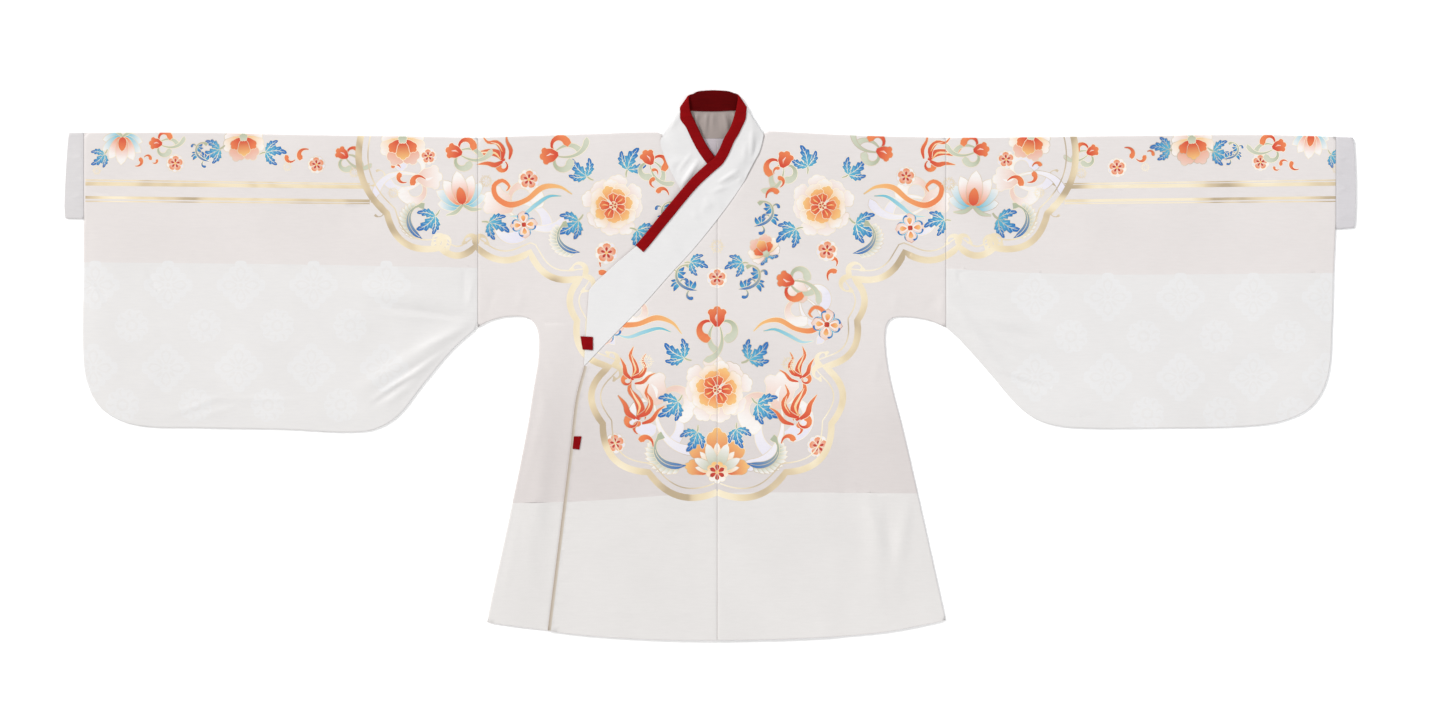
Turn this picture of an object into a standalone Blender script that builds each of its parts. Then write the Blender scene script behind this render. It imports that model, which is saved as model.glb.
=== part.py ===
"""Cross-collar jacket with wide lute-shaped sleeves, laid flat with its front up.

Every piece is a middle surface in millimetres that a Solidify modifier thickens into cloth. The
back lies on the floor, the right front on the back, and the left front on both. Left and right
are the wearer's: the wearer's left is at +X. The hem points to -Y.
"""
import math

import bmesh
import bpy
from mathutils import Vector
from mathutils.geometry import delaunay_2d_cdt

MM = 0.001

# Driving sizes, mm
CLOTH = 1.2
COLLAR_CLOTH = 1.6
GUARD_CLOTH = 1.0
GAP = 0.3
GUARD_GAP = 0.4
CENTRE_SEAM_X = 10.0
LEFT_SEAM_X = 330.0
RIGHT_SEAM_X = -325.0
LEFT_CUFF_X = 876.0
RIGHT_CUFF_X = -876.4
GUARD_OUTSIDE = 14.6
GUARD_INSIDE = 29.5
BAND_LINE = 30.0
PUFF = 0.8
EDGE_FLAT = 14.0
FOLD_TAIL = 0.12
MIN_REACH = 0.2
TIE_LIFT = 0.2

# Heights of a layer's middle surface over the floor, mm
BACK_Z = CLOTH / 2
FRONT_Z = BACK_Z + CLOTH + GAP
OUTER_Z = 4.2
OUTER_Z_LOW = 3.7
COLLAR_BACK_Z = COLLAR_CLOTH / 2 + 0.05
GUARD_OUT = COLLAR_CLOTH / 2 + GUARD_GAP + GUARD_CLOTH / 2
COLLAR_OVER_GUARD_Z = GUARD_OUT + GUARD_CLOTH / 2
ROLL = (FRONT_Z - BACK_Z) / 2
RIM_INSET = CLOTH / 2 + ROLL

# Mesh steps, mm
EDGE_STEP = 26.0
FRONT_STEP = 34.0
BACK_STEP = 80.0
COLLAR_STEP = 11.0
TURN_STEPS = 8
NECK_STEP = 2.0
SEAM_STEP = 50.0
HEM_STEP = 55.0
FOLD_LINE_STEP = 60.0
HIDDEN_STEP = 70.0
BACK_SEAM_STEP = 90.0
FRONT_EDGE_STEP = 40.0
OUTER_NECK_STEP = 18.0
INNER_NECK_STEP = 14.0
WRIST_STEP = 32.0
MOUTH_STEP = 24.0
CUFF_STEP = 9.0
TIE_STEP = 3.0
COLLAR_ACROSS = 6
WRAP_FADE_ROWS = 3
SHARP_ANGLE = math.radians(40)
CENTRE_CLEAR = 4.0
HEM_CLEAR = 10.0

# Points inside a layer: row spacing and room at the edge as shares of the step, and the ones on folds
NET_ROW = 0.87
NET_CLEAR = 0.45
FOLD_STEP = 30.0
FOLD_FEET = (-1.5, 0.0, 1.5)
FOLD_CLEAR = 6.0
FOLD_ROOM = 9.0

# Outlines: x, y. Each is a soft curve through its rows.
SHOULDER_LEFT = [(330, 318), (210, 321), (126, 325), (90, 327), (75, 327)]
SHOULDER_RIGHT = [(-66, 325.5), (-100, 325.5), (-154, 323.5), (-238, 321), (-325, 318)]
SIDE_LEFT = [
    (330, -357), (323, -326), (295, -200), (270, -91), (251, -15), (245, 30), (247, 56),
    (256, 66), (280, 67), (308, 62), (330, 53),
]
SIDE_RIGHT = [
    (-325, 53), (-308, 62), (-280, 68), (-253, 65), (-241, 48), (-240, 10), (-246, -28),
    (-256, -91), (-280, -210), (-305, -325), (-312, -360),
]
SLEEVE_FOLD_LEFT = [(876, 319.5), (770, 322), (630, 321), (420, 318.5), (330, 318)]
SLEEVE_FOLD_RIGHT = [(-325, 318), (-434, 320), (-574, 322), (-714, 325), (-876, 325)]
SLEEVE_FOOT_LEFT = [
    (330, 53), (350, 35), (392, -12), (434, -60), (466, -80), (510, -88), (630, -88.5),
    (740, -86.5), (800, -79), (842, -58), (865, -16), (871, 60), (873, 130), (875.5, 190),
]
SLEEVE_FOOT_RIGHT = [
    (-876.6, 202.5), (-876.5, 130), (-878, 45), (-873, -20), (-851, -62), (-805, -84), (-714, -88),
    (-602, -90), (-483, -93), (-440, -74), (-399, -24), (-360, 22), (-325, 53),
]
HEM_RIGHT = [(-312, -360), (-266, -366), (-182, -377), (-84, -383.5), (10, -385)]
HEM_LEFT = [(10, -385), (126, -382), (238, -374), (330, -357)]
FRONT_EDGE = [(-176, -1), (-188, -49), (-196, -120), (-227, -371)]
CUFF_FOLD_LEFT = [(900, 318.5), (876, 319.5)]
CUFF_MOUTH_LEFT = [(902, 192), (902.9, 224), (902.6, 270), (900, 318.5)]
CUFF_FOOT_LEFT = [(876, 190), (902, 192)]
CUFF_FOLD_RIGHT = [(-876, 325), (-897, 325)]
CUFF_MOUTH_RIGHT = [(-897, 325), (-900, 287), (-903, 224), (-902, 205)]
CUFF_FOOT_RIGHT = [(-902, 205), (-876, 204.5)]

# Hidden hem end of the inner overlap: x, y
INNER_HEM = [(10, -380), (158, -376)]

# Finished edge of the outer front and its collar, down the wearer's right: y, x
OUTER_REACH = [
    (280, -6), (259, -28), (221, -60), (168, -104), (104, -169), (-1, -176), (-49, -188),
    (-120, -196), (-371, -227),
]
UNDER_MARGIN = 8.0
UNDER_BLEND = 30.0

# How the left front steps down past the inner collar and the inner overlap, and sinks to its edge
STEP_AT = (41.0, 245.0)
STEP_ACROSS = (-0.742, -0.67)
STEP_WIDTH = 28.0
INNER_END_X = 196.0
INNER_END_BLEND = 38.0
SINK_FROM_X = -14.0
SINK_WIDTH = 84.0
THROAT_AT = (43.0, 250.0)
THROAT_RISE = 1.4
THROAT_SPREAD = 40.0

# Collar rows: seam x, seam y, free x, free y, then heights at the seam, the band line, the free edge
COLLAR_OUTER = [
    (-176, -1, -169, 104, 4.1, 4.1, 4.1),
    (-137, 40, -160, 115, 4.1, 4.1, 4.1),
    (-98, 80, -148, 126, 4.1, 4.1, 4.2),
    (-57, 126, -104, 168, 4.3, 5.2, 5.3),
    (-24, 162, -70, 209, 4.5, 5.4, 5.5),
    (10, 204, -28, 259, 5.0, 6.3, 6.8),
    (35, 238, -6, 280, 5.8, 8.3, 8.3),
    (48.5, 259, 4.5, 288.4, 5.6, 8.6, 8.6),
    (51.5, 265.5, 7.6, 292.6, 5.5, 8.6, 8.6),
    (60, 282, 13, 302, 5.0, 8.2, 8.8),
    (69, 299, 20, 318, 4.6, 8.0, 8.8),
    (73, 313, 29, 334, 4.2, 7.8, 8.6),
    (74, 319, 36, 356, 4.1, 7.2, 8.0),
]
COLLAR_BACK = [
    (56, 319.7, 25.5, 383.2, 0.85, 2.2, 2.2),
    (30, 318.1, 14, 384.3, 0.85, 2.2, 2.2),
    (4, 317.3, 4, 384.6, 0.85, 2.2, 2.2),
    (-20, 317.9, -6, 384.2, 0.85, 2.2, 2.2),
    (-46, 319.1, -17, 382.8, 0.85, 2.2, 2.2),
]
COLLAR_INNER = [
    (-67.5, 318, -27.5, 356, 3.4, 6.2, 7.2),
    (-69, 311, -19, 337, 3.2, 6.2, 7.4),
    (-64, 293, -10, 318, 2.6, 5.2, 6.6),
    (-55, 272, -2, 304, 2.4, 4.3, 4.9),
    (-42, 248, 8, 290, 2.35, 3.8, 3.8),
    (-34, 236, 15, 280, 2.35, 3.7, 3.7),
    (-20, 217, 27, 264, 2.35, 2.5, 2.6),
    (10, 178, 57, 224, 2.35, 2.35, 2.35),
    (49, 136, 95, 181, 2.35, 2.35, 2.35),
    (96, 88, 132, 142, 2.35, 2.35, 2.35),
    (158, 29, 158, 115, 2.35, 2.35, 2.35),
]
GUARD_FIRST_ROW = (-57, 126)
GUARD_LAST_ROW = (-34, 236)
OUTER_CENTRE = (CENTRE_SEAM_X, 204)
INNER_CENTRE = (CENTRE_SEAM_X, 178)
NAPE = (4, 317)
# Where the collar turns over at each side of the neck: seam x, y, free x, y, radius at the seam and
# at the free edge. The band meets the turn at a slant, so it slides along it as it goes round.
TURN_LEFT = (74, 324, 38, 377.6, 1.6, 2.9)
TURN_RIGHT = (-66, 322.5, -28.5, 376.6, 1.4, 2.7)
TURN_SLANT = 1.3

# The guard's outside width measured along each turn, and how many rows it takes to narrow again
GUARD_AT_TURN = 20.0
GUARD_WIDE_ROWS = 2

# Largest folds on the fronts: start x, y, end x, y, rise, spread
FOLDS = [
    (-330, 62, -508, -45, 3.0, 11),
    (-340, 44, -465, -60, 2.4, 9),
    (-328, 78, -520, 112, 2.2, 14),
    (336, 88, 408, -10, 2.8, 10),
    (334, 68, 462, 52, 2.0, 12),
    (345, 46, 452, -56, 2.2, 9),
    (-226, -76, -252, -310, 1.8, 16),
    (228, -186, 240, -352, 2.6, 14),
    (272, -204, 260, -318, 2.0, 9),
    (166, -230, 158, -350, 1.6, 16),
]

# Ties: outline corners x, y
TIE_UPPER = [(-181, 40), (-178, 22), (-164, 21), (-164, 39)]
TIE_LOWER = [(-190, -100), (-192, -117), (-183, -118), (-180, -100)]
TIE_DROP_X = (-178.0, -174.6)

MATERIALS = {
    "upper cloth": ((0.80, 0.76, 0.74, 1.0), 0.45),
    "cuff cloth": ((0.70, 0.68, 0.68, 1.0), 0.55),
    "collar cloth": ((0.89, 0.89, 0.89, 1.0), 0.50),
    "red cloth": ((0.25, 0.004, 0.006, 1.0), 0.60),
}


def clear_scene():
    for item in list(bpy.data.objects):
        bpy.data.objects.remove(item, do_unlink=True)


def ease(value):
    """A soft step from 0 to 1."""
    value = min(1.0, max(0.0, value))
    return value * value * (3.0 - 2.0 * value)


def smooth_rows(rows, spans, step):
    """Rows on a smooth curve through the given ones, whose distances are spans."""
    knots = [0.0]
    for span in spans:
        knots.append(knots[-1] + span)

    def slope(i, column):
        low = max(0, i - 1)
        high = min(len(rows) - 1, i + 1)
        return (rows[high][column] - rows[low][column]) / (knots[high] - knots[low])

    result = []
    for i, span in enumerate(spans):
        count = max(1, round(span / step))
        for k in range(count):
            t = k / count
            start = 2 * t**3 - 3 * t**2 + 1
            leave = (t**3 - 2 * t**2 + t) * span
            end = 3 * t**2 - 2 * t**3
            arrive = (t**3 - t**2) * span
            result.append(tuple(
                start * rows[i][c] + leave * slope(i, c) + end * rows[i + 1][c] + arrive * slope(i + 1, c)
                for c in range(len(rows[i]))
            ))
    result.append(tuple(rows[-1]))
    return result


def soft_rows(rows, step):
    """Plan points on a smooth curve through the given ones, about step millimetres apart."""
    return smooth_rows(rows, [math.dist(a, b) for a, b in zip(rows, rows[1:])], step)


def with_end_x(points, x):
    """The curve with its last point moved to x."""
    return points[:-1] + [(x, points[-1][1])]


def read_between(table, key):
    """The second column of a falling table at a value of the first."""
    if key >= table[0][0]:
        return table[0][1]
    for (key_a, value_a), (key_b, value_b) in zip(table, table[1:]):
        if key >= key_b:
            share = (key_a - key) / (key_a - key_b)
            return value_a + (value_b - value_a) * share
    return table[-1][1]


def distance_to_run(x, y, x0, y0, x1, y1):
    """Distance from a point to a straight run, and the share of the run where it is nearest."""
    along = ((x - x0) * (x1 - x0) + (y - y0) * (y1 - y0)) / ((x1 - x0) ** 2 + (y1 - y0) ** 2)
    held = min(1.0, max(0.0, along))
    return math.hypot(x - x0 - held * (x1 - x0), y - y0 - held * (y1 - y0)), held


TURNED_EDGES = [
    SHOULDER_LEFT, SHOULDER_RIGHT, SIDE_LEFT, SIDE_RIGHT, SLEEVE_FOLD_LEFT, SLEEVE_FOLD_RIGHT,
    SLEEVE_FOOT_LEFT, SLEEVE_FOOT_RIGHT, CUFF_FOOT_LEFT, CUFF_FOOT_RIGHT,
]


def rise(x, y):
    """How far the upper layer stands off: soft air under it, and the largest folds."""
    edge = min(
        distance_to_run(x, y, *a, *b)[0]
        for curve in TURNED_EDGES
        for a, b in zip(curve, curve[1:])
    )
    height = PUFF
    for x0, y0, x1, y1, top, spread in FOLDS:
        away, share = distance_to_run(x, y, x0, y0, x1, y1)
        swell = math.sin(math.pi * (FOLD_TAIL + (1.0 - FOLD_TAIL) * share))
        height += top * swell * math.exp(-(away / spread) ** 2)
    return height * (1.0 - math.exp(-(edge / EDGE_FLAT) ** 2))


def sleeve_height(x, y):
    return FRONT_Z + rise(x, y)


def inner_front_height(x, y):
    """The right front: flat below the left front, and soft outside it."""
    outside = read_between(OUTER_REACH, y) - x
    return FRONT_Z + rise(x, y) * ease((outside - UNDER_MARGIN) / UNDER_BLEND)


def inner_overlap_height(x, y):
    return FRONT_Z


def outer_height(x, y):
    """The left front: over the right front and the inner collar, then down to the back."""
    below_collar = (x - STEP_AT[0]) * STEP_ACROSS[0] + (y - STEP_AT[1]) * STEP_ACROSS[1]
    lift = ease((below_collar + STEP_WIDTH) / STEP_WIDTH) * ease((INNER_END_X - x) / INNER_END_BLEND)
    if x <= CENTRE_SEAM_X:
        lift = 1.0
    over = OUTER_Z - (OUTER_Z - OUTER_Z_LOW) * ease((SINK_FROM_X - x) / SINK_WIDTH)
    throat = THROAT_RISE * math.exp(-(math.dist((x, y), THROAT_AT) / THROAT_SPREAD) ** 2)
    free = FRONT_Z + rise(x, y)
    return free + (over - free) * lift + throat


def inside(loop, x, y):
    """Whether a point is inside a closed plan loop."""
    hit = False
    for (x0, y0), (x1, y1) in zip(loop, loop[1:] + loop[:1]):
        if (y0 > y) != (y1 > y) and x < x0 + (x1 - x0) * (y - y0) / (y1 - y0):
            hit = not hit
    return hit


def distance_to_loop(loop, x, y):
    """Distance from a point to a closed plan loop."""
    return min(distance_to_run(x, y, *a, *b)[0] for a, b in zip(loop, loop[1:] + loop[:1]))


def points_inside(loop, step):
    """Points on an even triangular net inside a loop, clear of its edge."""
    xs = [point[0] for point in loop]
    ys = [point[1] for point in loop]
    rows = int((max(ys) - min(ys)) / (step * NET_ROW)) + 1
    columns = int((max(xs) - min(xs)) / step) + 2
    result = []
    for row in range(rows):
        y = min(ys) + (row + 0.5) * step * NET_ROW
        for column in range(columns):
            x = min(xs) + (column + 0.5 * (row % 2)) * step
            if inside(loop, x, y) and distance_to_loop(loop, x, y) > NET_CLEAR * step:
                result.append((x, y))
    return result


def points_on_folds(loop):
    """Points along the crest and both feet of each large fold that lies inside a loop."""
    result = []
    for x0, y0, x1, y1, _, spread in FOLDS:
        length = math.dist((x0, y0), (x1, y1))
        across_x = -(y1 - y0) / length
        across_y = (x1 - x0) / length
        count = int(length / FOLD_STEP)
        for k in range(count + 1):
            for side in FOLD_FEET:
                x = x0 + (x1 - x0) * k / count + side * spread * across_x
                y = y0 + (y1 - y0) * k / count + side * spread * across_y
                if inside(loop, x, y) and distance_to_loop(loop, x, y) > FOLD_CLEAR:
                    result.append((x, y))
    return result


def thin_out(points, room):
    """The points in order, without those that lie within room of an earlier one."""
    kept = []
    for point in points:
        if all(math.dist(point, other) > room for other in kept):
            kept.append(point)
    return kept


def fill(loop, step, folded):
    """Triangles over a plan loop: the plan points, the triangles, and each loop point's place."""
    inner = points_inside(loop, step)
    if folded:
        inner = thin_out(points_on_folds(loop) + inner, FOLD_ROOM)
    count = len(loop)
    edges = [(i, (i + 1) % count) for i in range(count)]
    plan = [Vector(point) for point in list(loop) + inner]
    found, _, triangles, origin, _, _ = delaunay_2d_cdt(plan, edges, [list(range(count))], 1, 1e-4)
    place = {}
    for new, olds in enumerate(origin):
        for old in olds:
            place[old] = new
    return found, triangles, [place[i] for i in range(count)]


def ring(curves):
    """A loop from curves that follow each other, and whether the edge leaving each point is turned."""
    loop = []
    turned = []
    for points, is_turned in curves:
        loop.extend(points[:-1])
        turned.extend([is_turned] * (len(points) - 1))
    return loop, turned


def pulled_in(loop, turned):
    """The loop with its turned stretches moved inward by the room that the roll needs."""
    count = len(loop)
    result = []
    for i, (x, y) in enumerate(loop):
        before = turned[i - 1]
        after = turned[i]
        last = Vector(loop[i - 1])
        here = Vector((x, y))
        following = Vector(loop[(i + 1) % count])
        if not before and not after:
            result.append((x, y))
            continue
        if before and after:
            run = (here - last).normalized() + (following - here).normalized()
            move = Vector((-run.y, run.x)).normalized()
        elif before:
            move = (following - here).normalized()
        else:
            move = (last - here).normalized()
        result.append(tuple(here + move * RIM_INSET))
    return result


def new_material(piece_name, material_name):
    """A piece's own material."""
    colour, roughness = MATERIALS[material_name]
    material = bpy.data.materials.new(f"{piece_name} {material_name}")
    material.use_nodes = True
    shader = material.node_tree.nodes["Principled BSDF"]
    shader.inputs["Base Color"].default_value = colour
    shader.inputs["Roughness"].default_value = roughness
    shader.inputs["Metallic"].default_value = 0.0
    return material


def new_object(name, material_name, mesh_data, thickness):
    """A named object, thickened from its middle surface."""
    points, faces = mesh_data
    mesh = bpy.data.meshes.new(name)
    body = bmesh.new()
    corners = [body.verts.new(Vector(point) * MM) for point in points]
    for face in faces:
        body.faces.new([corners[i] for i in face])
    body.to_mesh(mesh)
    body.free()
    mesh.shade_smooth()
    mesh.set_sharp_from_angle(angle=SHARP_ANGLE)
    mesh.materials.append(new_material(name, material_name))
    item = bpy.data.objects.new(name, mesh)
    bpy.context.scene.collection.objects.link(item)
    cloth = item.modifiers.new("Cloth", "SOLIDIFY")
    cloth.thickness = thickness * MM
    cloth.offset = 0.0
    return item


def layer(loop, step, height, folded):
    """One layer of cloth as 3D points and triangles, with the places of its loop points."""
    found, triangles, places = fill(loop, step, folded)
    points = [(p.x, p.y, height(p.x, p.y)) for p in found]
    return points, [tuple(t) for t in triangles], places


def folded_panel(name, material_name, front, back, height):
    """Two layers that are one cloth: they turn over into each other along their turned edges."""
    front_loop, front_turned = ring(front)
    back_loop, back_turned = ring(back)
    points, faces, front_places = layer(pulled_in(front_loop, front_turned), FRONT_STEP, height, True)
    lower, lower_faces, back_places = layer(
        pulled_in(back_loop, back_turned), BACK_STEP, lambda x, y: BACK_Z, False
    )
    start = len(points)
    points = points + lower
    faces = faces + [tuple(start + i for i in reversed(face)) for face in lower_faces]
    back_at = {point: start + back_places[i] for i, point in enumerate(back_loop)}

    rolls = {}

    def roll(i):
        """The points over the turned edge at loop point i, from the front layer to the back one."""
        if i in rolls:
            return rolls[i]
        top = Vector(points[front_places[i]])
        low = Vector(points[back_at[front_loop[i]]])
        out = Vector(front_loop[i]) - (top.xy + low.xy) / 2
        reach = max(MIN_REACH, out.length - CLOTH / 2)
        out = out.normalized() * reach
        chain = [front_places[i]]
        for turn in (math.pi / 4, 0.0, -math.pi / 4):
            share = (1.0 - math.sin(turn)) / 2
            middle = top.xy.lerp(low.xy, share) + out * math.cos(turn)
            points.append((middle.x, middle.y, top.z + (low.z - top.z) * share))
            chain.append(len(points) - 1)
        chain.append(back_at[front_loop[i]])
        rolls[i] = chain
        return chain

    count = len(front_loop)
    for i in range(count):
        if not front_turned[i]:
            continue
        here = roll(i)
        following = roll((i + 1) % count)
        for k in range(len(here) - 1):
            faces.append((here[k], here[k + 1], following[k + 1], following[k]))
    return new_object(name, material_name, (points, faces), CLOTH)


def single_panel(name, material_name, curves, height, thickness, step, folded=False):
    """One layer of cloth."""
    loop, _ = ring(curves)
    points, faces, _ = layer(loop, step, height, folded)
    return new_object(name, material_name, (points, faces), thickness)


def turn_rows(turn, front_first):
    """Collar rows over the roll at one side of the neck."""
    seam = Vector(turn[0:2])
    free = Vector(turn[2:4])
    seam_radius, free_radius = turn[4:6]
    along = (free - seam).normalized()
    out = Vector((along.y, -along.x)) if front_first else Vector((-along.y, along.x))
    rows = []
    for step in range(TURN_STEPS + 1):
        angle = math.pi * (0.5 - step / TURN_STEPS)
        slide = -along * TURN_SLANT * angle
        back = -out * (1.0 - math.cos(angle))
        seam_at = seam + (slide + back) * seam_radius
        free_at = free + (slide + back) * free_radius
        seam_z = COLLAR_BACK_Z + seam_radius * (1.0 + math.sin(angle))
        free_z = COLLAR_OVER_GUARD_Z + free_radius * (1.0 + math.sin(angle))
        band_radius = (seam_radius + free_radius) / 2
        band_z = COLLAR_OVER_GUARD_Z + band_radius * (1.0 + math.sin(angle))
        rows.append((*seam_at, *free_at, seam_z, band_z, free_z))
    return rows if front_first else rows[::-1]


def soft_collar_rows():
    """All collar rows from the outer tip round the neck to the inner tip, evenly spaced."""
    rows = COLLAR_OUTER + turn_rows(TURN_LEFT, True) + COLLAR_BACK
    rows = rows + turn_rows(TURN_RIGHT, False) + COLLAR_INNER
    spans = []
    for a, b in zip(rows, rows[1:]):
        seam = math.dist((a[0], a[1], a[4]), (b[0], b[1], b[4]))
        free = math.dist((a[2], a[3], a[6]), (b[2], b[3], b[6]))
        spans.append((seam + free) / 2)
    return smooth_rows(rows, spans, COLLAR_STEP)


def row_near(rows, seam):
    """The index of the row whose seam point is nearest to a plan point."""
    return min(range(len(rows)), key=lambda i: math.dist(rows[i][:2], seam))


def collar_point(row, depth):
    """A point of the collar's middle surface, depth millimetres in from its finished free edge."""
    seam_x, seam_y, free_x, free_y, seam_z, band_z, free_z = row
    width = math.dist((seam_x, seam_y), (free_x, free_y))
    share = depth / width
    if depth < BAND_LINE:
        z = free_z + (band_z - free_z) * ease(depth / BAND_LINE)
    else:
        z = band_z + (seam_z - band_z) * ease((depth - BAND_LINE) / (width - BAND_LINE))
    return Vector((free_x + (seam_x - free_x) * share, free_y + (seam_y - free_y) * share, z))


def collar_normal(rows, i, depth):
    """The direction away from the collar's outside."""
    along = collar_point(rows[min(i + 1, len(rows) - 1)], depth) - collar_point(rows[max(i - 1, 0)], depth)
    across = collar_point(rows[i], depth + 1.0) - collar_point(rows[i], max(0.0, depth - 1.0))
    return across.cross(along).normalized()


def strip(columns):
    """Quads over a list of equally long rows of points."""
    points = [point for column in columns for point in column]
    size = len(columns[0])
    faces = []
    for c in range(len(columns) - 1):
        for k in range(size - 1):
            a = c * size + k
            faces.append((a, a + size, a + size + 1, a + 1))
    return points, faces


def make_collar(rows):
    """The collar band: one strip from the outer tip round the neck to the inner tip."""
    first = row_near(rows, GUARD_FIRST_ROW)
    last = row_near(rows, GUARD_LAST_ROW)
    columns = []
    for i, row in enumerate(rows):
        width = math.dist(row[:2], row[2:4])
        away = max(0, first - i, i - last)
        wrapped = COLLAR_OVER_GUARD_Z * max(0.0, 1.0 - away / WRAP_FADE_ROWS)
        depths = [wrapped + (width - wrapped) * k / COLLAR_ACROSS for k in range(COLLAR_ACROSS + 1)]
        columns.append([collar_point(row, depth) for depth in depths])
    new_object("collar", "collar cloth", strip(columns), COLLAR_CLOTH)


def guard_outside(i, turns):
    """The guard's outside width at a row: the turns cut it at a slant, so it is wider there."""
    away = min(abs(i - turn) for turn in turns) - TURN_STEPS // 2
    share = min(1.0, max(0.0, 1.0 - away / GUARD_WIDE_ROWS))
    return GUARD_OUTSIDE + (GUARD_AT_TURN - GUARD_OUTSIDE) * share


def make_guard(rows):
    """The red strip that wraps the collar's free edge and ends square on the left front."""
    first = row_near(rows, GUARD_FIRST_ROW)
    last = row_near(rows, GUARD_LAST_ROW)
    turns = [row_near(rows, turn[:2]) for turn in (TURN_LEFT, TURN_RIGHT)]
    edge = COLLAR_OVER_GUARD_Z
    columns = []
    for i in range(first, last + 1):
        column = []
        outside = guard_outside(i, turns)
        for depth in (outside, (outside + edge) / 2, edge):
            column.append(collar_point(rows[i], depth) + collar_normal(rows, i, depth) * GUARD_OUT)
        normal = collar_normal(rows, i, edge)
        centre = collar_point(rows[i], edge)
        outward = (collar_point(rows[i], edge) - collar_point(rows[i], edge + 2.0)).normalized()
        for turn in (math.pi / 4, 0.0, -math.pi / 4):
            reach = outward * math.cos(turn) + normal * math.sin(turn)
            column.append(centre + reach * GUARD_OUT)
        for depth in (edge, (GUARD_INSIDE + edge) / 2, GUARD_INSIDE):
            column.append(collar_point(rows[i], depth) - collar_normal(rows, i, depth) * GUARD_OUT)
        columns.append([Vector((p.x, p.y, max(p.z, GUARD_CLOTH / 2))) for p in column])
    new_object("collar_guard", "red cloth", strip(columns), GUARD_CLOTH)


def neckline(rows, first, last):
    """The edge of a panel beside the collar's seam, between two collar rows."""
    points = []
    for row in rows[first:last + 1]:
        seam = Vector(row[:2])
        points.append(tuple(seam + (seam - Vector(row[2:4])).normalized() * GAP))
    return points


def beside(x, side):
    """The edge of a piece at one side of a seam that lies at x."""
    return x + side * GAP / 2


def straight(start, end, step=EDGE_STEP):
    """Points along a straight edge."""
    count = max(1, round(math.dist(start, end) / step))
    return [
        (start[0] + (end[0] - start[0]) * k / count, start[1] + (end[1] - start[1]) * k / count)
        for k in range(count + 1)
    ]


def moved_x(points, old, new):
    """The curve with its points at one seam's x moved to the piece's own side of the seam."""
    return [(new, y) if abs(x - old) < 1e-6 else (x, y) for x, y in points]


def spaced(points, room):
    """A curve thinned so that its points are at least room apart, with both ends kept."""
    kept = [points[0]]
    for point in points[1:-1]:
        if math.dist(point, kept[-1]) >= room and math.dist(point, points[-1]) >= room:
            kept.append(point)
    return kept + [points[-1]]


def make_left_body(rows):
    """The wearer's left half: front and back in one, folded at the shoulder, closed at the side."""
    seam_x = beside(LEFT_SEAM_X, -1)
    centre_x = beside(CENTRE_SEAM_X, 1)
    neck = row_near(rows, TURN_LEFT[:2])
    low = row_near(rows, OUTER_CENTRE)
    nape = row_near(rows, NAPE)
    front_neck = neckline(rows, low, neck)[::-1]
    front_neck = spaced(with_end_x(front_neck, centre_x), NECK_STEP)
    back_neck = [p for p in neckline(rows, neck, nape) if p[0] > centre_x + CENTRE_CLEAR]
    nape_y = rows[nape][1] - GAP
    back_neck = spaced([front_neck[0]] + back_neck[1:] + [(centre_x, nape_y)], NECK_STEP)
    hem = moved_x(soft_rows(HEM_LEFT, HEM_STEP), LEFT_SEAM_X, seam_x)
    hem = moved_x(hem, CENTRE_SEAM_X, centre_x)
    side = moved_x(soft_rows(SIDE_LEFT, EDGE_STEP), LEFT_SEAM_X, seam_x)
    shoulder = moved_x(soft_rows(SHOULDER_LEFT, SEAM_STEP), LEFT_SEAM_X, seam_x)
    shoulder = shoulder[:-1] + [front_neck[0]]
    seam = straight(side[-1], shoulder[0], SEAM_STEP)
    front = [
        (front_neck, False),
        (straight(front_neck[-1], hem[0], SEAM_STEP), False),
        (hem, False), (side, True), (seam, False), (shoulder, True),
    ]
    back = [
        (back_neck, False),
        (straight(back_neck[-1], hem[0], BACK_SEAM_STEP), False),
        (hem, False), (side, True), (seam, False), (shoulder, True),
    ]
    folded_panel("body_left", "upper cloth", front, back, outer_height)


def make_right_body(rows):
    """The wearer's right half, whose front lies under the left front."""
    seam_x = beside(RIGHT_SEAM_X, 1)
    centre_x = beside(CENTRE_SEAM_X, -1)
    neck = row_near(rows, TURN_RIGHT[:2])
    low = row_near(rows, INNER_CENTRE)
    nape = row_near(rows, NAPE)
    front_neck = spaced(with_end_x(neckline(rows, neck, low), centre_x), NECK_STEP)[::-1]
    back_neck = [p for p in neckline(rows, nape, neck) if p[0] < centre_x - CENTRE_CLEAR]
    nape_y = rows[nape][1] - GAP
    back_neck = spaced([(centre_x, nape_y)] + back_neck[:-1] + [front_neck[-1]], NECK_STEP)
    hem = moved_x(soft_rows(HEM_RIGHT, HEM_STEP), CENTRE_SEAM_X, centre_x)
    side = moved_x(soft_rows(SIDE_RIGHT, EDGE_STEP), RIGHT_SEAM_X, seam_x)
    shoulder = moved_x(soft_rows(SHOULDER_RIGHT, SEAM_STEP), RIGHT_SEAM_X, seam_x)
    shoulder = [front_neck[-1]] + shoulder[1:]
    seam = straight(shoulder[-1], side[0], SEAM_STEP)
    front = [
        (shoulder, True), (seam, False), (side, True), (hem, False),
        (straight(hem[-1], front_neck[0], SEAM_STEP), False),
        (front_neck, False),
    ]
    back = [
        (shoulder, True), (seam, False), (side, True), (hem, False),
        (straight(hem[-1], back_neck[0], BACK_SEAM_STEP), False),
        (back_neck, False),
    ]
    folded_panel("body_right", "upper cloth", front, back, inner_front_height)


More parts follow.
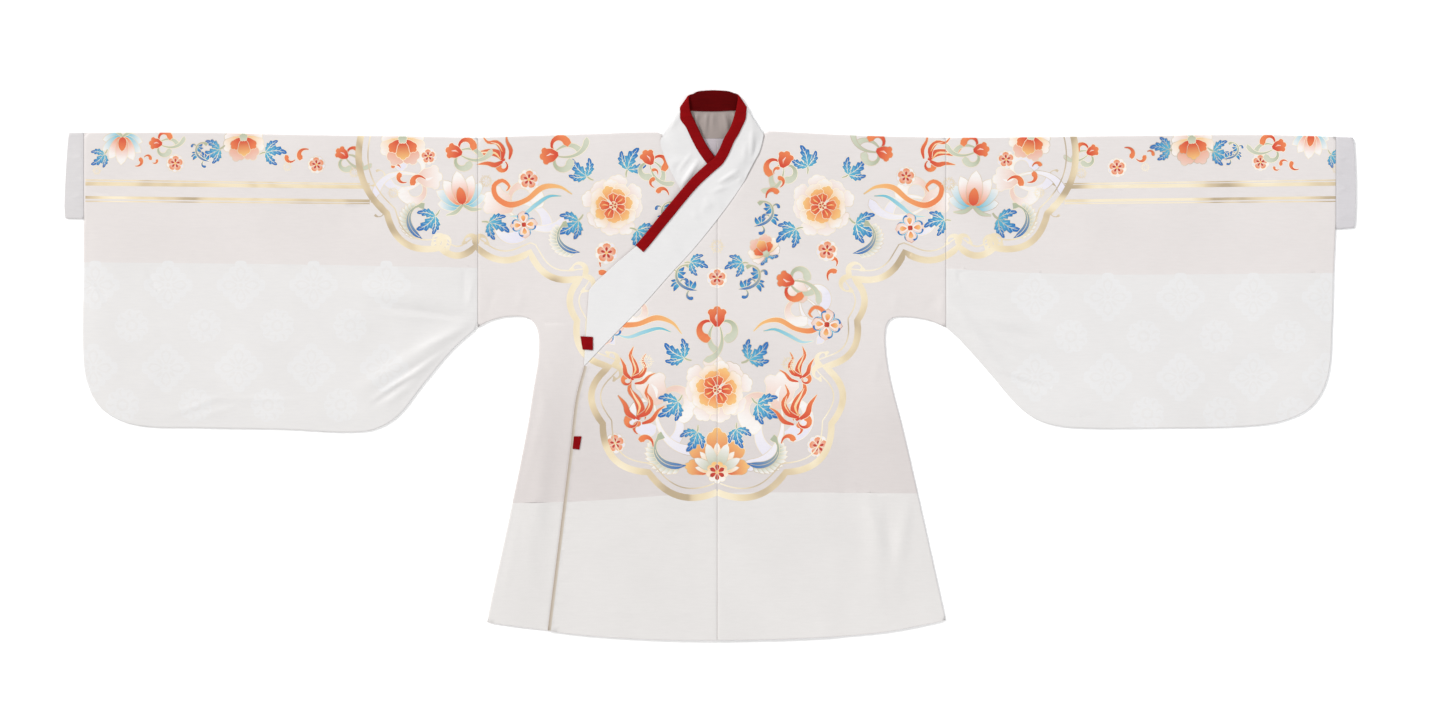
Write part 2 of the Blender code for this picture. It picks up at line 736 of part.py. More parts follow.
def make_overlaps(rows):
    """The outer overlap over the right front, and the hidden inner overlap below the left front."""
    centre_x = beside(CENTRE_SEAM_X, -1)
    low = row_near(rows, OUTER_CENTRE)
    top = spaced(with_end_x(neckline(rows, 0, low), centre_x), OUTER_NECK_STEP)[::-1]
    edge = soft_rows(FRONT_EDGE, FRONT_EDGE_STEP)
    edge = [top[-1]] + edge[1:]
    hem = soft_rows(HEM_RIGHT, SEAM_STEP)
    hem = [p for p in hem if edge[-1][0] + HEM_CLEAR < p[0] < centre_x - HEM_CLEAR]
    hem = [edge[-1]] + hem + [(centre_x, HEM_LEFT[0][1])]
    single_panel("front_overlap", "upper cloth", [
        (top, False), (edge, False), (hem, False), (straight(hem[-1], top[0], SEAM_STEP), False),
    ], outer_height, CLOTH, FRONT_STEP, True)

    centre_x = beside(CENTRE_SEAM_X, 1)
    first = row_near(rows, INNER_CENTRE)
    top = neckline(rows, first, len(rows) - 1)
    top = spaced([(centre_x, top[0][1])] + top[1:], INNER_NECK_STEP)[::-1]
    hem = straight((centre_x, INNER_HEM[0][1]), INNER_HEM[1], HIDDEN_STEP)
    single_panel("inner_overlap", "upper cloth", [
        (top, False), (straight(top[-1], hem[0], HIDDEN_STEP), False), (hem, False),
        (straight(hem[-1], top[0], HIDDEN_STEP), False),
    ], inner_overlap_height, CLOTH, HIDDEN_STEP)


def make_sleeves():
    """Both sleeves: folded along the top, closed below and at the wrist under the cuff."""
    seam_x = beside(LEFT_SEAM_X, 1)
    cuff_x = beside(LEFT_CUFF_X, -1)
    foot = moved_x(soft_rows(SLEEVE_FOOT_LEFT, EDGE_STEP), LEFT_SEAM_X, seam_x)
    fold = soft_rows(SLEEVE_FOLD_LEFT, FOLD_LINE_STEP)
    fold = [(cuff_x, fold[0][1])] + moved_x(fold[1:], LEFT_SEAM_X, seam_x)
    curves = [
        (foot, True), (straight(foot[-1], fold[0], WRIST_STEP), False),
        (fold, True), (straight(fold[-1], foot[0], SEAM_STEP), False),
    ]
    folded_panel("sleeve_left", "upper cloth", curves, curves, sleeve_height)

    seam_x = beside(RIGHT_SEAM_X, -1)
    cuff_x = beside(RIGHT_CUFF_X, 1)
    fold = moved_x(soft_rows(SLEEVE_FOLD_RIGHT, FOLD_LINE_STEP), RIGHT_SEAM_X, seam_x)
    fold = with_end_x(fold, cuff_x)
    foot = moved_x(soft_rows(SLEEVE_FOOT_RIGHT, EDGE_STEP), RIGHT_SEAM_X, seam_x)
    foot = [(cuff_x, foot[0][1])] + foot[1:]
    curves = [
        (fold, True), (straight(fold[-1], foot[0], WRIST_STEP), False),
        (foot, True), (straight(foot[-1], fold[0], SEAM_STEP), False),
    ]
    folded_panel("sleeve_right", "upper cloth", curves, curves, sleeve_height)


def make_cuffs():
    """The two cuffs, flat tubes with open ends."""
    seam_x = beside(LEFT_CUFF_X, 1)
    foot = [(seam_x, CUFF_FOOT_LEFT[0][1]), CUFF_FOOT_LEFT[1]]
    mouth = soft_rows(CUFF_MOUTH_LEFT, MOUTH_STEP)
    fold = [CUFF_FOLD_LEFT[0], (seam_x, CUFF_FOLD_LEFT[1][1])]
    curves = [
        (straight(*foot, CUFF_STEP), True), (mouth, False), (straight(*fold, CUFF_STEP), True),
        (straight(fold[-1], foot[0], WRIST_STEP), False),
    ]
    folded_panel("cuff_left", "cuff cloth", curves, curves, sleeve_height)

    seam_x = beside(RIGHT_CUFF_X, -1)
    fold = [(seam_x, CUFF_FOLD_RIGHT[0][1]), CUFF_FOLD_RIGHT[1]]
    mouth = soft_rows(CUFF_MOUTH_RIGHT, MOUTH_STEP)
    foot = [CUFF_FOOT_RIGHT[0], (seam_x, CUFF_FOOT_RIGHT[1][1])]
    curves = [
        (straight(*fold, CUFF_STEP), True), (mouth, False), (straight(*foot, CUFF_STEP), True),
        (straight(foot[-1], fold[0], WRIST_STEP), False),
    ]
    folded_panel("cuff_right", "cuff cloth", curves, curves, sleeve_height)


def make_ties():
    """The two red tie ends that turn over the front edge."""
    on_collar = COLLAR_OUTER[0][4] + COLLAR_CLOTH / 2 + GAP + GUARD_CLOTH / 2 + TIE_LIFT
    on_right_front = FRONT_Z + CLOTH / 2 + GAP + GUARD_CLOTH / 2
    on_overlap = OUTER_Z_LOW + CLOTH / 2 + GAP + GUARD_CLOTH / 2

    def upper_height(x, y):
        share = ease((x - TIE_DROP_X[0]) / (TIE_DROP_X[1] - TIE_DROP_X[0]))
        return on_right_front + (on_collar - on_right_front) * share

    def outline(corners):
        sides = zip(corners, corners[1:] + corners[:1])
        return [(straight(a, b, TIE_STEP), False) for a, b in sides]

    single_panel("tie_upper", "red cloth", outline(TIE_UPPER), upper_height, GUARD_CLOTH, TIE_STEP)
    single_panel(
        "tie_lower", "red cloth", outline(TIE_LOWER), lambda x, y: on_overlap, GUARD_CLOTH, 2 * TIE_STEP
    )


def main():
    clear_scene()
    rows = soft_collar_rows()
    make_left_body(rows)
    make_right_body(rows)
    make_overlaps(rows)
    make_sleeves()
    make_cuffs()
    make_collar(rows)
    make_guard(rows)
    make_ties()


main()
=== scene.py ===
import math
from itertools import groupby

import bpy
import numpy as np
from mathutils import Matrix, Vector, noise
from mathutils.geometry import delaunay_2d_cdt
from mathutils.kdtree import KDTree


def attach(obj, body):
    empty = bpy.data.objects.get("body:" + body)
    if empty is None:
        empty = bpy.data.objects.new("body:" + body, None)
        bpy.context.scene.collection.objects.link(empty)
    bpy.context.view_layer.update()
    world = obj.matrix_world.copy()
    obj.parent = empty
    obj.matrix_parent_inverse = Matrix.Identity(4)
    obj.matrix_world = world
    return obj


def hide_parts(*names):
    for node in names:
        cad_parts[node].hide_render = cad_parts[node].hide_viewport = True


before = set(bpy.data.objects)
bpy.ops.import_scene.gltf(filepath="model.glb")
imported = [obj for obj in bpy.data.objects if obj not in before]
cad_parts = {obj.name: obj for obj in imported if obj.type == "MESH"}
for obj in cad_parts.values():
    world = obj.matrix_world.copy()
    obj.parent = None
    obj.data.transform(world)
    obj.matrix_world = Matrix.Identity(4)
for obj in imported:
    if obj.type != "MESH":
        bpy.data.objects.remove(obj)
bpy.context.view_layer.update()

MM = 0.001

# Driving sizes, mm: the same cloth as the solids
CLOTH = 1.2
COLLAR_CLOTH = 1.6
GUARD_CLOTH = 1.0
GUARD_GAP = 0.4
CENTRE_SEAM_X = 10.0
LEFT_SEAM_X = 330.0
RIGHT_SEAM_X = -325.0
LEFT_CUFF_X = 876.0
RIGHT_CUFF_X = -876.4
GUARD_OUTSIDE = 14.6
GUARD_INSIDE = 29.5
BAND_LINE = 30.0
EDGE_FLAT = 14.0
SEAM_ROOM = 0.4
SEAM_DIP = 0.45
SEAM_DIP_WIDTH = 1.5
EDGE_BULGE = 0.32
TINY = 1e-12

# Heights over the floor, mm
FRONT_Z = 2.1
OUTER_Z = 4.2
OUTER_Z_LOW = 3.7
COLLAR_BACK_Z = 0.85
ROLL_RADIUS = 1.35
GUARD_OUT = COLLAR_CLOTH / 2 + GUARD_GAP + GUARD_CLOTH / 2
COLLAR_OVER_GUARD_Z = GUARD_OUT + GUARD_CLOTH / 2

# Mesh steps, mm
EDGE_STEP = 7.0
GRID_STEP = 6.5
CREASE_STEP = 5.0
COLLAR_STEP = 1.6
COLLAR_ACROSS = 30
TURN_STEPS = 12
ROLL_ROWS = (0.1, 0.45, 1.3, 3.0)
SEAM_ROWS = (0.5, 1.6, 3.6)
NET_ROW = 0.87
NET_CLEAR = 0.45
CREASE_ROWS = (-1.6, -1.0, -0.5, 0.0, 0.5, 1.0, 1.6)
CREASE_CLEAR = 2.0
NECK_STEP = 2.4
CUFF_STEP = 3.0
MOUTH_STEP = 4.0
GUARD_OUT_STEPS = 6
GUARD_ROUND_STEPS = 8
GUARD_IN_STEPS = 7
TIE_STEPS = 12
SHARP_ANGLE = math.radians(50.0)
ROW_CLEAR = 0.9
POINT_ROOM = 1e-3
ON_EDGE = 2e-3
ON_FOLD = 0.02
RIM_GAP = 0.05
NOWHERE_NEAR = 1e9

# Flat maps, as shares of the map: the margin, the room of the main part, and of the three small ones
MAP_MARGIN = 0.01
MAP_ROOM = 0.98
MAP_GAP = 0.004
MAP_SMALL = 0.97
STRIP_MARGIN = 0.02
STRIP_ROOM = 0.96
STRIP_LANES = 0.46
STRIP_FILL = 0.9
STRIP_ROW_SHAPE = 2.2
RIM_SPOT = 0.995

# Outlines: x, y. Each is a soft curve through its rows.
SHOULDER_LEFT = [(330, 318), (210, 321), (126, 325), (90, 327), (75, 327)]
SHOULDER_RIGHT = [(-66, 325.5), (-100, 325.5), (-154, 323.5), (-238, 321), (-325, 318)]
SIDE_LEFT = [
    (330, -357), (323, -326), (295, -200), (270, -91), (251, -15), (245, 30), (247, 56),
    (256, 66), (280, 67), (308, 62), (330, 53),
]
SIDE_RIGHT = [
    (-325, 53), (-308, 62), (-280, 68), (-253, 65), (-241, 48), (-240, 10), (-246, -28),
    (-256, -91), (-280, -210), (-305, -325), (-312, -360),
]
SLEEVE_FOLD_LEFT = [(876, 319.5), (770, 322), (630, 321), (420, 318.5), (330, 318)]
SLEEVE_FOLD_RIGHT = [(-325, 318), (-434, 320), (-574, 322), (-714, 325), (-876, 325)]
SLEEVE_FOOT_LEFT = [
    (330, 53), (350, 35), (392, -12), (434, -60), (466, -80), (510, -88), (630, -88.5),
    (740, -86.5), (800, -79), (842, -58), (865, -16), (871, 60), (873, 130), (875.5, 190),
]
SLEEVE_FOOT_RIGHT = [
    (-876.6, 202.5), (-876.5, 130), (-878, 45), (-873, -20), (-851, -62), (-805, -84), (-714, -88),
    (-602, -90), (-483, -93), (-440, -74), (-399, -24), (-360, 22), (-325, 53),
]
HEM_RIGHT = [(-312, -360), (-266, -366), (-182, -377), (-84, -383.5), (10, -385)]
HEM_LEFT = [(10, -385), (126, -382), (238, -374), (330, -357)]
FRONT_EDGE = [(-176, -1), (-188, -49), (-196, -120), (-227, -371)]
CUFF_FOLD_LEFT = [(900, 318.5), (876, 319.5)]
CUFF_MOUTH_LEFT = [(902, 192), (902.9, 224), (902.6, 270), (900, 318.5)]
CUFF_FOOT_LEFT = [(876, 190), (902, 192)]
CUFF_FOLD_RIGHT = [(-876, 325), (-897, 325)]
CUFF_MOUTH_RIGHT = [(-897, 325), (-900, 287), (-903, 224), (-902, 205)]
CUFF_FOOT_RIGHT = [(-902, 205), (-876, 204.5)]
INNER_HEM = [(10, -380), (158, -376)]

# The curves of each side, left 1 and right -1, in their order round it
SLEEVES = {
    1: ((SLEEVE_FOOT_LEFT, SLEEVE_FOLD_LEFT), LEFT_SEAM_X, LEFT_CUFF_X),
    -1: ((SLEEVE_FOOT_RIGHT, SLEEVE_FOLD_RIGHT), RIGHT_SEAM_X, RIGHT_CUFF_X),
}
CUFFS = {
    1: ((CUFF_FOOT_LEFT, CUFF_MOUTH_LEFT, CUFF_FOLD_LEFT), LEFT_CUFF_X),
    -1: ((CUFF_FOLD_RIGHT, CUFF_MOUTH_RIGHT, CUFF_FOOT_RIGHT), RIGHT_CUFF_X),
}

# Finished edge of the outer front and its collar, down the wearer's right: y, x
OUTER_REACH = [
    (280, -6), (259, -28), (221, -60), (168, -104), (104, -169), (-1, -176), (-49, -188),
    (-120, -196), (-371, -227),
]
UNDER_MARGIN = 8.0
UNDER_BLEND = 30.0

# Where the collar's seam crosses the centre seam on the two fronts, and at the nape
OUTER_CROSSING = (CENTRE_SEAM_X, 204)
INNER_CROSSING = (CENTRE_SEAM_X, 178)
NAPE = (4, 317)
NAPE_CLEAR = 3.0
HEM_CLEAR = 4.0

# How the left front steps down past the inner collar and the inner overlap, and sinks to its edge
STEP_AT = (41.0, 245.0)
STEP_ACROSS = (-0.742, -0.67)
STEP_WIDTH = 28.0
INNER_END_X = 196.0
INNER_END_BLEND = 38.0
SINK_FROM_X = -14.0
SINK_WIDTH = 84.0
THROAT_AT = (43.0, 250.0)
THROAT_RISE = 1.4
THROAT_SPREAD = 40.0
OVERLAP_SOFTNESS = 0.35
OVERLAP_SOFT_WIDTH = 60.0

# The turned strip along the outer front's edge: its width, and how it steps down to one cloth
EDGE_TURN = 4.4
EDGE_TURN_STEP = 1.0
EDGE_TURN_RISE = 0.45

# Collar rows: seam x, seam y, free x, free y, then heights at the seam, the band line, the free edge
COLLAR_OUTER = [
    (-176, -1, -169, 104, 4.1, 4.1, 4.1),
    (-137, 40, -160, 115, 4.1, 4.1, 4.1),
    (-98, 80, -148, 126, 4.1, 4.1, 4.2),
    (-57, 126, -104, 168, 4.3, 5.2, 5.3),
    (-24, 162, -70, 209, 4.5, 5.4, 5.5),
    (10, 204, -28, 259, 5.0, 6.3, 6.8),
    (35, 238, -6, 280, 5.8, 8.3, 8.3),
    (48.5, 259, 4.5, 288.4, 5.6, 8.6, 8.6),
    (51.5, 265.5, 7.6, 292.6, 5.5, 8.6, 8.6),
    (60, 282, 13, 302, 5.0, 8.2, 8.8),
    (69, 299, 20, 318, 4.6, 8.0, 8.8),
    (73, 313, 29, 334, 4.2, 7.8, 8.6),
    (74, 319, 36, 356, 4.1, 7.2, 8.0),
]
COLLAR_BACK = [
    (56, 319.7, 25.5, 383.2, 0.85, 2.2, 2.2),
    (30, 318.1, 14, 384.3, 0.85, 2.2, 2.2),
    (4, 317.3, 4, 384.6, 0.85, 2.2, 2.2),
    (-20, 317.9, -6, 384.2, 0.85, 2.2, 2.2),
    (-46, 319.1, -17, 382.8, 0.85, 2.2, 2.2),
]
COLLAR_INNER = [
    (-67.5, 318, -27.5, 356, 3.4, 6.2, 7.2),
    (-69, 311, -19, 337, 3.2, 6.2, 7.4),
    (-64, 293, -10, 318, 2.6, 5.2, 6.6),
    (-55, 272, -2, 304, 2.4, 4.3, 4.9),
    (-42, 248, 8, 290, 2.35, 3.8, 3.8),
    (-34, 236, 15, 280, 2.35, 3.7, 3.7),
    (-20, 217, 27, 264, 2.35, 2.5, 2.6),
    (10, 178, 57, 224, 2.35, 2.35, 2.35),
    (49, 136, 95, 181, 2.35, 2.35, 2.35),
    (96, 88, 132, 142, 2.35, 2.35, 2.35),
    (158, 29, 158, 115, 2.35, 2.35, 2.35),
]
GUARD_FIRST_ROW = (-57, 126)
GUARD_LAST_ROW = (-34, 236)
TURN_LEFT = (74, 324, 38, 377.6, 1.6, 2.9)
TURN_RIGHT = (-66, 322.5, -28.5, 376.6, 1.4, 2.7)
TURN_SLANT = 1.3
TURN_BASE_Z = np.array((COLLAR_BACK_Z, COLLAR_OVER_GUARD_Z, COLLAR_OVER_GUARD_Z))
GUARD_AT_TURN = 20.0
GUARD_FADE = 22.0
GUARD_RED_COLUMNS = 10
WRAP_FADE = 30.0
HALVES = {
    1: ((SHOULDER_LEFT, SIDE_LEFT, HEM_LEFT), TURN_LEFT, OUTER_CROSSING, LEFT_SEAM_X),
    -1: ((SHOULDER_RIGHT, SIDE_RIGHT, HEM_RIGHT), TURN_RIGHT, INNER_CROSSING, RIGHT_SEAM_X),
}

# Ties: outline corners x, y
TIE_UPPER = [(-181, 40), (-178, 22), (-164, 21), (-164, 39)]
TIE_LOWER = [(-190, -100), (-192, -117), (-183, -118), (-180, -100)]
TIE_DROP_X = (-178.0, -174.6)
TIE_GAP = 0.3
TIE_ON_COLLAR_GAP = 0.5
TIE_DENT = 0.10
TIE_DENT_TURNS = (0.6, 0.9)

# Air under the fronts, mm, and its waves: rise, size, seed. Creases follow: start x, y, end x, y, rise
# and spread. A trough has a negative rise.
PUFF = 0.8
AIR_WAVES = ((0.35, 70.0, 3.0), (0.12, 22.0, 8.0))
CREASE_TAIL = 0.12
CREASES = [
    (-330, 62, -508, -45, 2.7, 11),
    (-340, 44, -465, -60, 2.2, 9),
    (-328, 78, -520, 112, 2.0, 14),
    (336, 88, 408, -10, 2.6, 10),
    (334, 68, 462, 52, 2.0, 12),
    (345, 46, 452, -56, 2.2, 9),
    (-226, -76, -252, -310, 1.8, 16),
    (228, -186, 240, -352, 2.0, 16),
    (272, -204, 260, -318, 1.5, 11),
    (166, -230, 158, -350, 1.6, 16),
    (-323, 60, -478, 87, -1.0, 6),
    (-323, 60, -473, 72, 0.9, 5),
    (-330, 57, -414, 18, 1.3, 5),
    (-345, 40, -440, -22, -1.2, 4),
    (-362, 26, -483, -56, 1.2, 4),
    (-372, 10, -470, -44, 0.9, 3.5),
    (-396, -18, -455, -55, 0.9, 4),
    (-419, -21, -478, -60, -1.3, 4),
    (-332, 120, -338, 80, 0.8, 4),
    (-343, 138, -346, 84, -0.6, 4),
    (-463, 57, -522, 76, 0.5, 6),
    (-520, 20, -640, 34, 0.4, 16),
    (-868, 121, -841, 91, -1.0, 5),
    (-862, 104, -846, 84, 0.7, 4),
    (-787, 131, -773, 101, -0.8, 4),
    (-822, 20, -800, -26, -0.6, 14),
    (-753, -70, -675, -41, 0.7, 4),
    (-735, -80, -640, -50, 0.5, 4),
    (-720, -46, -545, -50, 0.5, 4),
    (347, 46, 389, -1, 1.2, 4),
    (389, -1, 478, -33, 1.1, 5),
    (402, -11, 479, -35, -1.3, 5),
    (351, 69, 474, 31, -1.0, 7),
    (347, 107, 436, 69, 0.8, 8),
    (360, 40, 452, -8, 0.8, 4),
    (372, 52, 470, 12, 0.7, 5),
    (340, 130, 352, 104, 0.8, 4),
    (352, 140, 346, 112, -0.6, 3.5),
    (500, -74, 550, -72, -0.8, 5),
    (516, -66, 520, -82, 0.7, 3),
    (640, 20, 700, -30, 0.4, 16),
    (767, 48, 818, -3, 0.6, 9),
    (-231, -49, -270, -193, 1.3, 8),
    (-268, -200, -292, -330, 0.8, 8),
    (-246, -210, -238, -300, -0.8, 9),
    (-201, -200, -186, -199, 0.6, 3),
    (-203, -214, -188, -211, 0.5, 2.6),
    (-205, -232, -190, -230, 0.8, 3),
    (-206, -246, -188, -243, -0.6, 3),
    (-210, -294, -192, -291, 0.8, 3.2),
    (-211, -306, -194, -302, -0.6, 3),
    (-218, -333, -200, -330, 0.8, 3),
    (-183, -123, -140, -127, 0.8, 5),
    (-152, -255, -74, -224, 0.8, 9),
    (-74, -224, 8, -211, 0.7, 8),
    (-105, -189, -4, -216, -0.7, 6),
    (-218, -346, 0, -344, 0.35, 4),
    (-64, -351, 4, -341, 0.6, 5),
    (27, -216, 27, -302, 0.8, 6),
    (60, -200, 84, -300, 0.5, 20),
    (120, -230, 104, -320, -0.5, 18),
    (190, -230, 178, -330, 0.6, 14),
    (156, -93, 157, -180, 0.35, 2.5),
    (156, -320, 158, -354, -0.6, 4),
    (200, -158, 228, -185, 0.9, 5),
    (206, -166, 224, -186, -0.9, 4),
    (215, -180, 246, -276, 0.8, 8),
    (246, -198, 255, -276, -0.8, 8),
    (246, -276, 276, -355, 0.6, 9),
    (281, -185, 263, -276, 0.7, 8),
    (-245, 40, -215, -20, 0.8, 6),
    (-243, 10, -230, -80, 0.7, 7),
    (-270, 70, -262, 110, 0.7, 6),
    (-310, 75, -300, 110, -0.5, 5),
    (250, 40, 226, -30, 0.8, 6),
    (256, 66, 262, 104, 0.6, 6),
    (300, 72, 318, 96, -0.7, 6),
    (322, 62, 326, 100, 0.7, 4),
    (-120, 230, -230, 250, 0.4, 18),
    (120, 180, 240, 210, 0.4, 18),
    (879, 288, 893, 291, 0.6, 2.6),
    (879, 268, 890, 264, -0.5, 2.4),
    (879, 243, 892, 248, 0.6, 2.6),
    (879, 226, 888, 224, -0.5, 2.4),
    (880, 206, 893, 210, 0.5, 2.6),
    (-880, 292, -893, 288, 0.5, 2.6),
    (-880, 262, -891, 266, -0.5, 2.4),
    (-880, 238, -893, 233, 0.5, 2.6),
    (-880, 218, -890, 220, -0.4, 2.4),
]


def ease(value):
    """A soft step from 0 to 1."""
    value = np.clip(value, 0.0, 1.0)
    return value * value * (3.0 - 2.0 * value)


def smooth_rows(rows, spans, step):
    """Rows on a smooth curve through the given ones, whose distances are spans."""
    knots = [0.0]
    for span in spans:
        knots.append(knots[-1] + span)

    def slope(i, column):
        low = max(0, i - 1)
        high = min(len(rows) - 1, i + 1)
        return (rows[high][column] - rows[low][column]) / (knots[high] - knots[low])

    result = []
    for i, span in enumerate(spans):
        count = max(1, round(span / step))
        for k in range(count):
            t = k / count
            start = 2 * t**3 - 3 * t**2 + 1
            leave = (t**3 - 2 * t**2 + t) * span
            end = 3 * t**2 - 2 * t**3
            arrive = (t**3 - t**2) * span
            result.append(tuple(
                start * rows[i][c] + leave * slope(i, c) + end * rows[i + 1][c] + arrive * slope(i + 1, c)
                for c in range(len(rows[i]))
            ))
    result.append(tuple(rows[-1]))
    return result


def soft_rows(rows, step=EDGE_STEP):
    """Rows on a smooth curve through the given ones, about step millimetres apart in plan."""
    return smooth_rows(rows, [max(0.01, math.dist(a[:2], b[:2])) for a, b in zip(rows, rows[1:])], step)


def beside(points, start, end):
    """Where points lie along a straight stretch, as shares of it, and how far they are from it."""
    span = end - start
    share = np.clip((points - start) @ span / (span @ span), 0.0, 1.0)
    gap = points - start - share[:, None] * span
    return share, np.hypot(gap[:, 0], gap[:, 1])


def away_from(points, run):
    """Distance from each point to a run of straight stretches."""
    run = np.array(run, dtype=float)
    return np.min([beside(points, a, b)[1] for a, b in zip(run[:-1], run[1:])], axis=0)


def creased(points, creases):
    """How far a table of creases lifts each plan point."""
    height = np.zeros(len(points))
    for x0, y0, x1, y1, top, spread in creases:
        share, gap = beside(points, np.array((x0, y0)), np.array((x1, y1)))
        swell = np.sin(math.pi * (CREASE_TAIL + (1.0 - CREASE_TAIL) * share))
        height += top * swell * np.exp(-((gap / spread) ** 2))
    return height


def wander(points, size, seed):
    """Smooth uneven values between about -1 and 1."""
    return np.array([noise.noise(Vector((x / size, y / size, seed))) for x, y in points])


TURNED_EDGES = [
    SHOULDER_LEFT, SHOULDER_RIGHT, SIDE_LEFT, SIDE_RIGHT, SLEEVE_FOLD_LEFT, SLEEVE_FOLD_RIGHT,
    SLEEVE_FOOT_LEFT, SLEEVE_FOOT_RIGHT, CUFF_FOOT_LEFT, CUFF_FOOT_RIGHT,
]


def rise(points):
    """How far the upper layer stands off: soft air under it, and the creases."""
    edge = np.min([away_from(points, curve) for curve in TURNED_EDGES], axis=0)
    air = PUFF + sum(top * wander(points, size, seed) for top, size, seed in AIR_WAVES)
    return (air + creased(points, CREASES)) * (1.0 - np.exp(-((edge / EDGE_FLAT) ** 2)))


def sleeve_height(points):
    """A sleeve's upper layer."""
    return FRONT_Z + rise(points)


def inner_front_height(points):
    """The right front: flat below the left front, and soft outside it."""
    table = np.array(OUTER_REACH[::-1], dtype=float)
    outside = np.interp(points[:, 1], table[:, 0], table[:, 1]) - points[:, 0]
    return FRONT_Z + rise(points) * ease((outside - UNDER_MARGIN) / UNDER_BLEND)


def inner_overlap_height(points):
    """The inner overlap, which lies flat."""
    return np.full(len(points), FRONT_Z)


def outer_height(points):
    """The left front: over the right front and the inner collar, then down to the back."""
    x, y = points.T
    below_collar = (x - STEP_AT[0]) * STEP_ACROSS[0] + (y - STEP_AT[1]) * STEP_ACROSS[1]
    lift = ease((below_collar + STEP_WIDTH) / STEP_WIDTH) * ease((INNER_END_X - x) / INNER_END_BLEND)
    lift = np.where(x <= CENTRE_SEAM_X, 1.0, lift)
    over = OUTER_Z - (OUTER_Z - OUTER_Z_LOW) * ease((SINK_FROM_X - x) / SINK_WIDTH)
    reach = np.hypot(x - THROAT_AT[0], y - THROAT_AT[1])
    throat = THROAT_RISE * np.exp(-(reach / THROAT_SPREAD) ** 2)
    air = rise(points)
    soft = OVERLAP_SOFTNESS * ease((CENTRE_SEAM_X - x) / OVERLAP_SOFT_WIDTH)
    hem = EDGE_TURN_RISE * (1.0 - ease((away_from(points, FRONT_EDGE) - EDGE_TURN) / EDGE_TURN_STEP))
    return FRONT_Z + air + (over - FRONT_Z - air) * lift + throat + soft * (air - PUFF) + hem


# Colours of the cloth and its threads, as shown on screen
COLOURS = {
    "ivory": (229, 223, 221),
    "white": (231, 229, 228),
    "ivory_shade": (219, 212, 210),
    "body_white": (228, 225, 223),
    "damask": (233, 232, 232),
    "collar": (232, 231, 231),
    # painted shade: a grey-brown for the collar's inside, standing in for the shade in the neck
    "collar_painted_shade": (163, 151, 146),
    "lining": (196, 187, 193),
    "red": (139, 10, 15),
    "shaded_red": (88, 3, 5),
    "gold": (242, 224, 188),
    "pale_gold": (246, 233, 206),
    "coral": (213, 68, 42),
    "wine": (176, 40, 32),
    "orange": (236, 132, 78),
    "peach": (246, 196, 124),
    "rose": (238, 206, 192),
    "lilac": (232, 229, 241),
    "snow": (247, 243, 240),
    "blue": (34, 110, 184),
    "deep_blue": (24, 78, 150),
    "cyan": (92, 186, 210),
    "pale_cyan": (190, 224, 232),
    "sage": (178, 186, 158),
    "pale_sage": (208, 212, 192),
    "fold_shade": (174, 158, 142),
    "fold_beige": (214, 204, 190),
    "cuff": (219, 216, 217),
    # painted shade: the cuff cloth painted darker, for the left cuff
    "cuff_painted_shade": (212, 209, 212),
}
CLOTH_SHARE = 0.8
GROUND, THREAD, METAL = 0.0, 1.0, 2.0
EDGING = 0.75
THINNEST = 0.12
CURL_STEPS = 16
COMMA_STEPS = 12

# Colour turns that several motifs share
WARM = ("coral", "orange")
LEAFY = ("sage", "pale_sage")
VINE = ("blue", "sage")
STREAMER_LENGTH = 110.0

# Every shape of the pattern, from the ground up
ART = []


def linear(name):
    """How much light a cloth of a screen colour gives back."""
    light = [((c / 255 + 0.055) / 1.055) ** 2.4 if c > 10 else c / 3294.6 for c in COLOURS[name]]
    return [CLOTH_SHARE * c for c in light]


def ink(polygons, colours, start, end, kind):
    """Adds polygons to the pattern, in one colour that turns into another from start to end."""
    ART.append((polygons, linear(colours[0]), linear(colours[-1]), start, end, kind))


def flat_ink(polygons, tone, kind):
    """Adds polygons of one colour to the pattern."""
    ink(polygons, (tone,), (0, 0), (1, 0), kind)


def placed(x, y, size=1.0):
    """A motif's own frame on the cloth: along its axis, and across it."""

    def at(along, across):
        return (x + size * along, y + size * across)

    at.size = size
    return at


def mirrored(at, side):
    """A frame turned over along its own axis on the side where side is -1."""

    def inner(u, v):
        return at(side * u, v)

    inner.size = at.size
    return inner


def around(at, turn, along=0.0):
    """A frame turned about the motif's centre, and moved out along its own axis."""
    turn = math.radians(turn)

    def inner(u, v):
        u = u + along
        return at(u * math.cos(turn) - v * math.sin(turn), u * math.sin(turn) + v * math.cos(turn))

    inner.size = at.size
    return inner


def around_point(at, u, v, turn):
    """A frame at a point of the motif, turned by an angle."""
    cos = math.cos(math.radians(turn))
    sin = math.sin(math.radians(turn))

    def inner(along, across):
        return at(u + along * cos - across * sin, v + along * sin + across * cos)

    inner.size = at.size
    return inner


def wound_path(length, turn, lean, widths):
    """Rows of a curve that winds up evenly towards its end, with a half width for each."""
    rows = []
    u = v = 0.0
    count = len(widths) - 1
    for k, width in enumerate(widths):
        rows.append((u, v, width))
        angle = math.radians(turn) * (k / count) ** lean
        u += length / count * math.cos(angle)
        v += length / count * math.sin(angle)
    return rows


def counter_clockwise(loop):
    """A loop, turned to run counter-clockwise."""
    area = sum(a[0] * b[1] - b[0] * a[1] for a, b in zip(loop, loop[1:] + loop[:1]))
    return loop if area > 0 else loop[::-1]


def grown(loop, room):
    """A loop moved outward."""
    loop = counter_clockwise(loop)
    result = []
    for before, here, after in zip(loop[-1:] + loop[:-1], loop, loop[1:] + loop[:1]):
        run = Vector(after) - Vector(before)
        out = Vector((run.y, -run.x)).normalized() * room
        result.append((here[0] + out.x, here[1] + out.y))
    return result


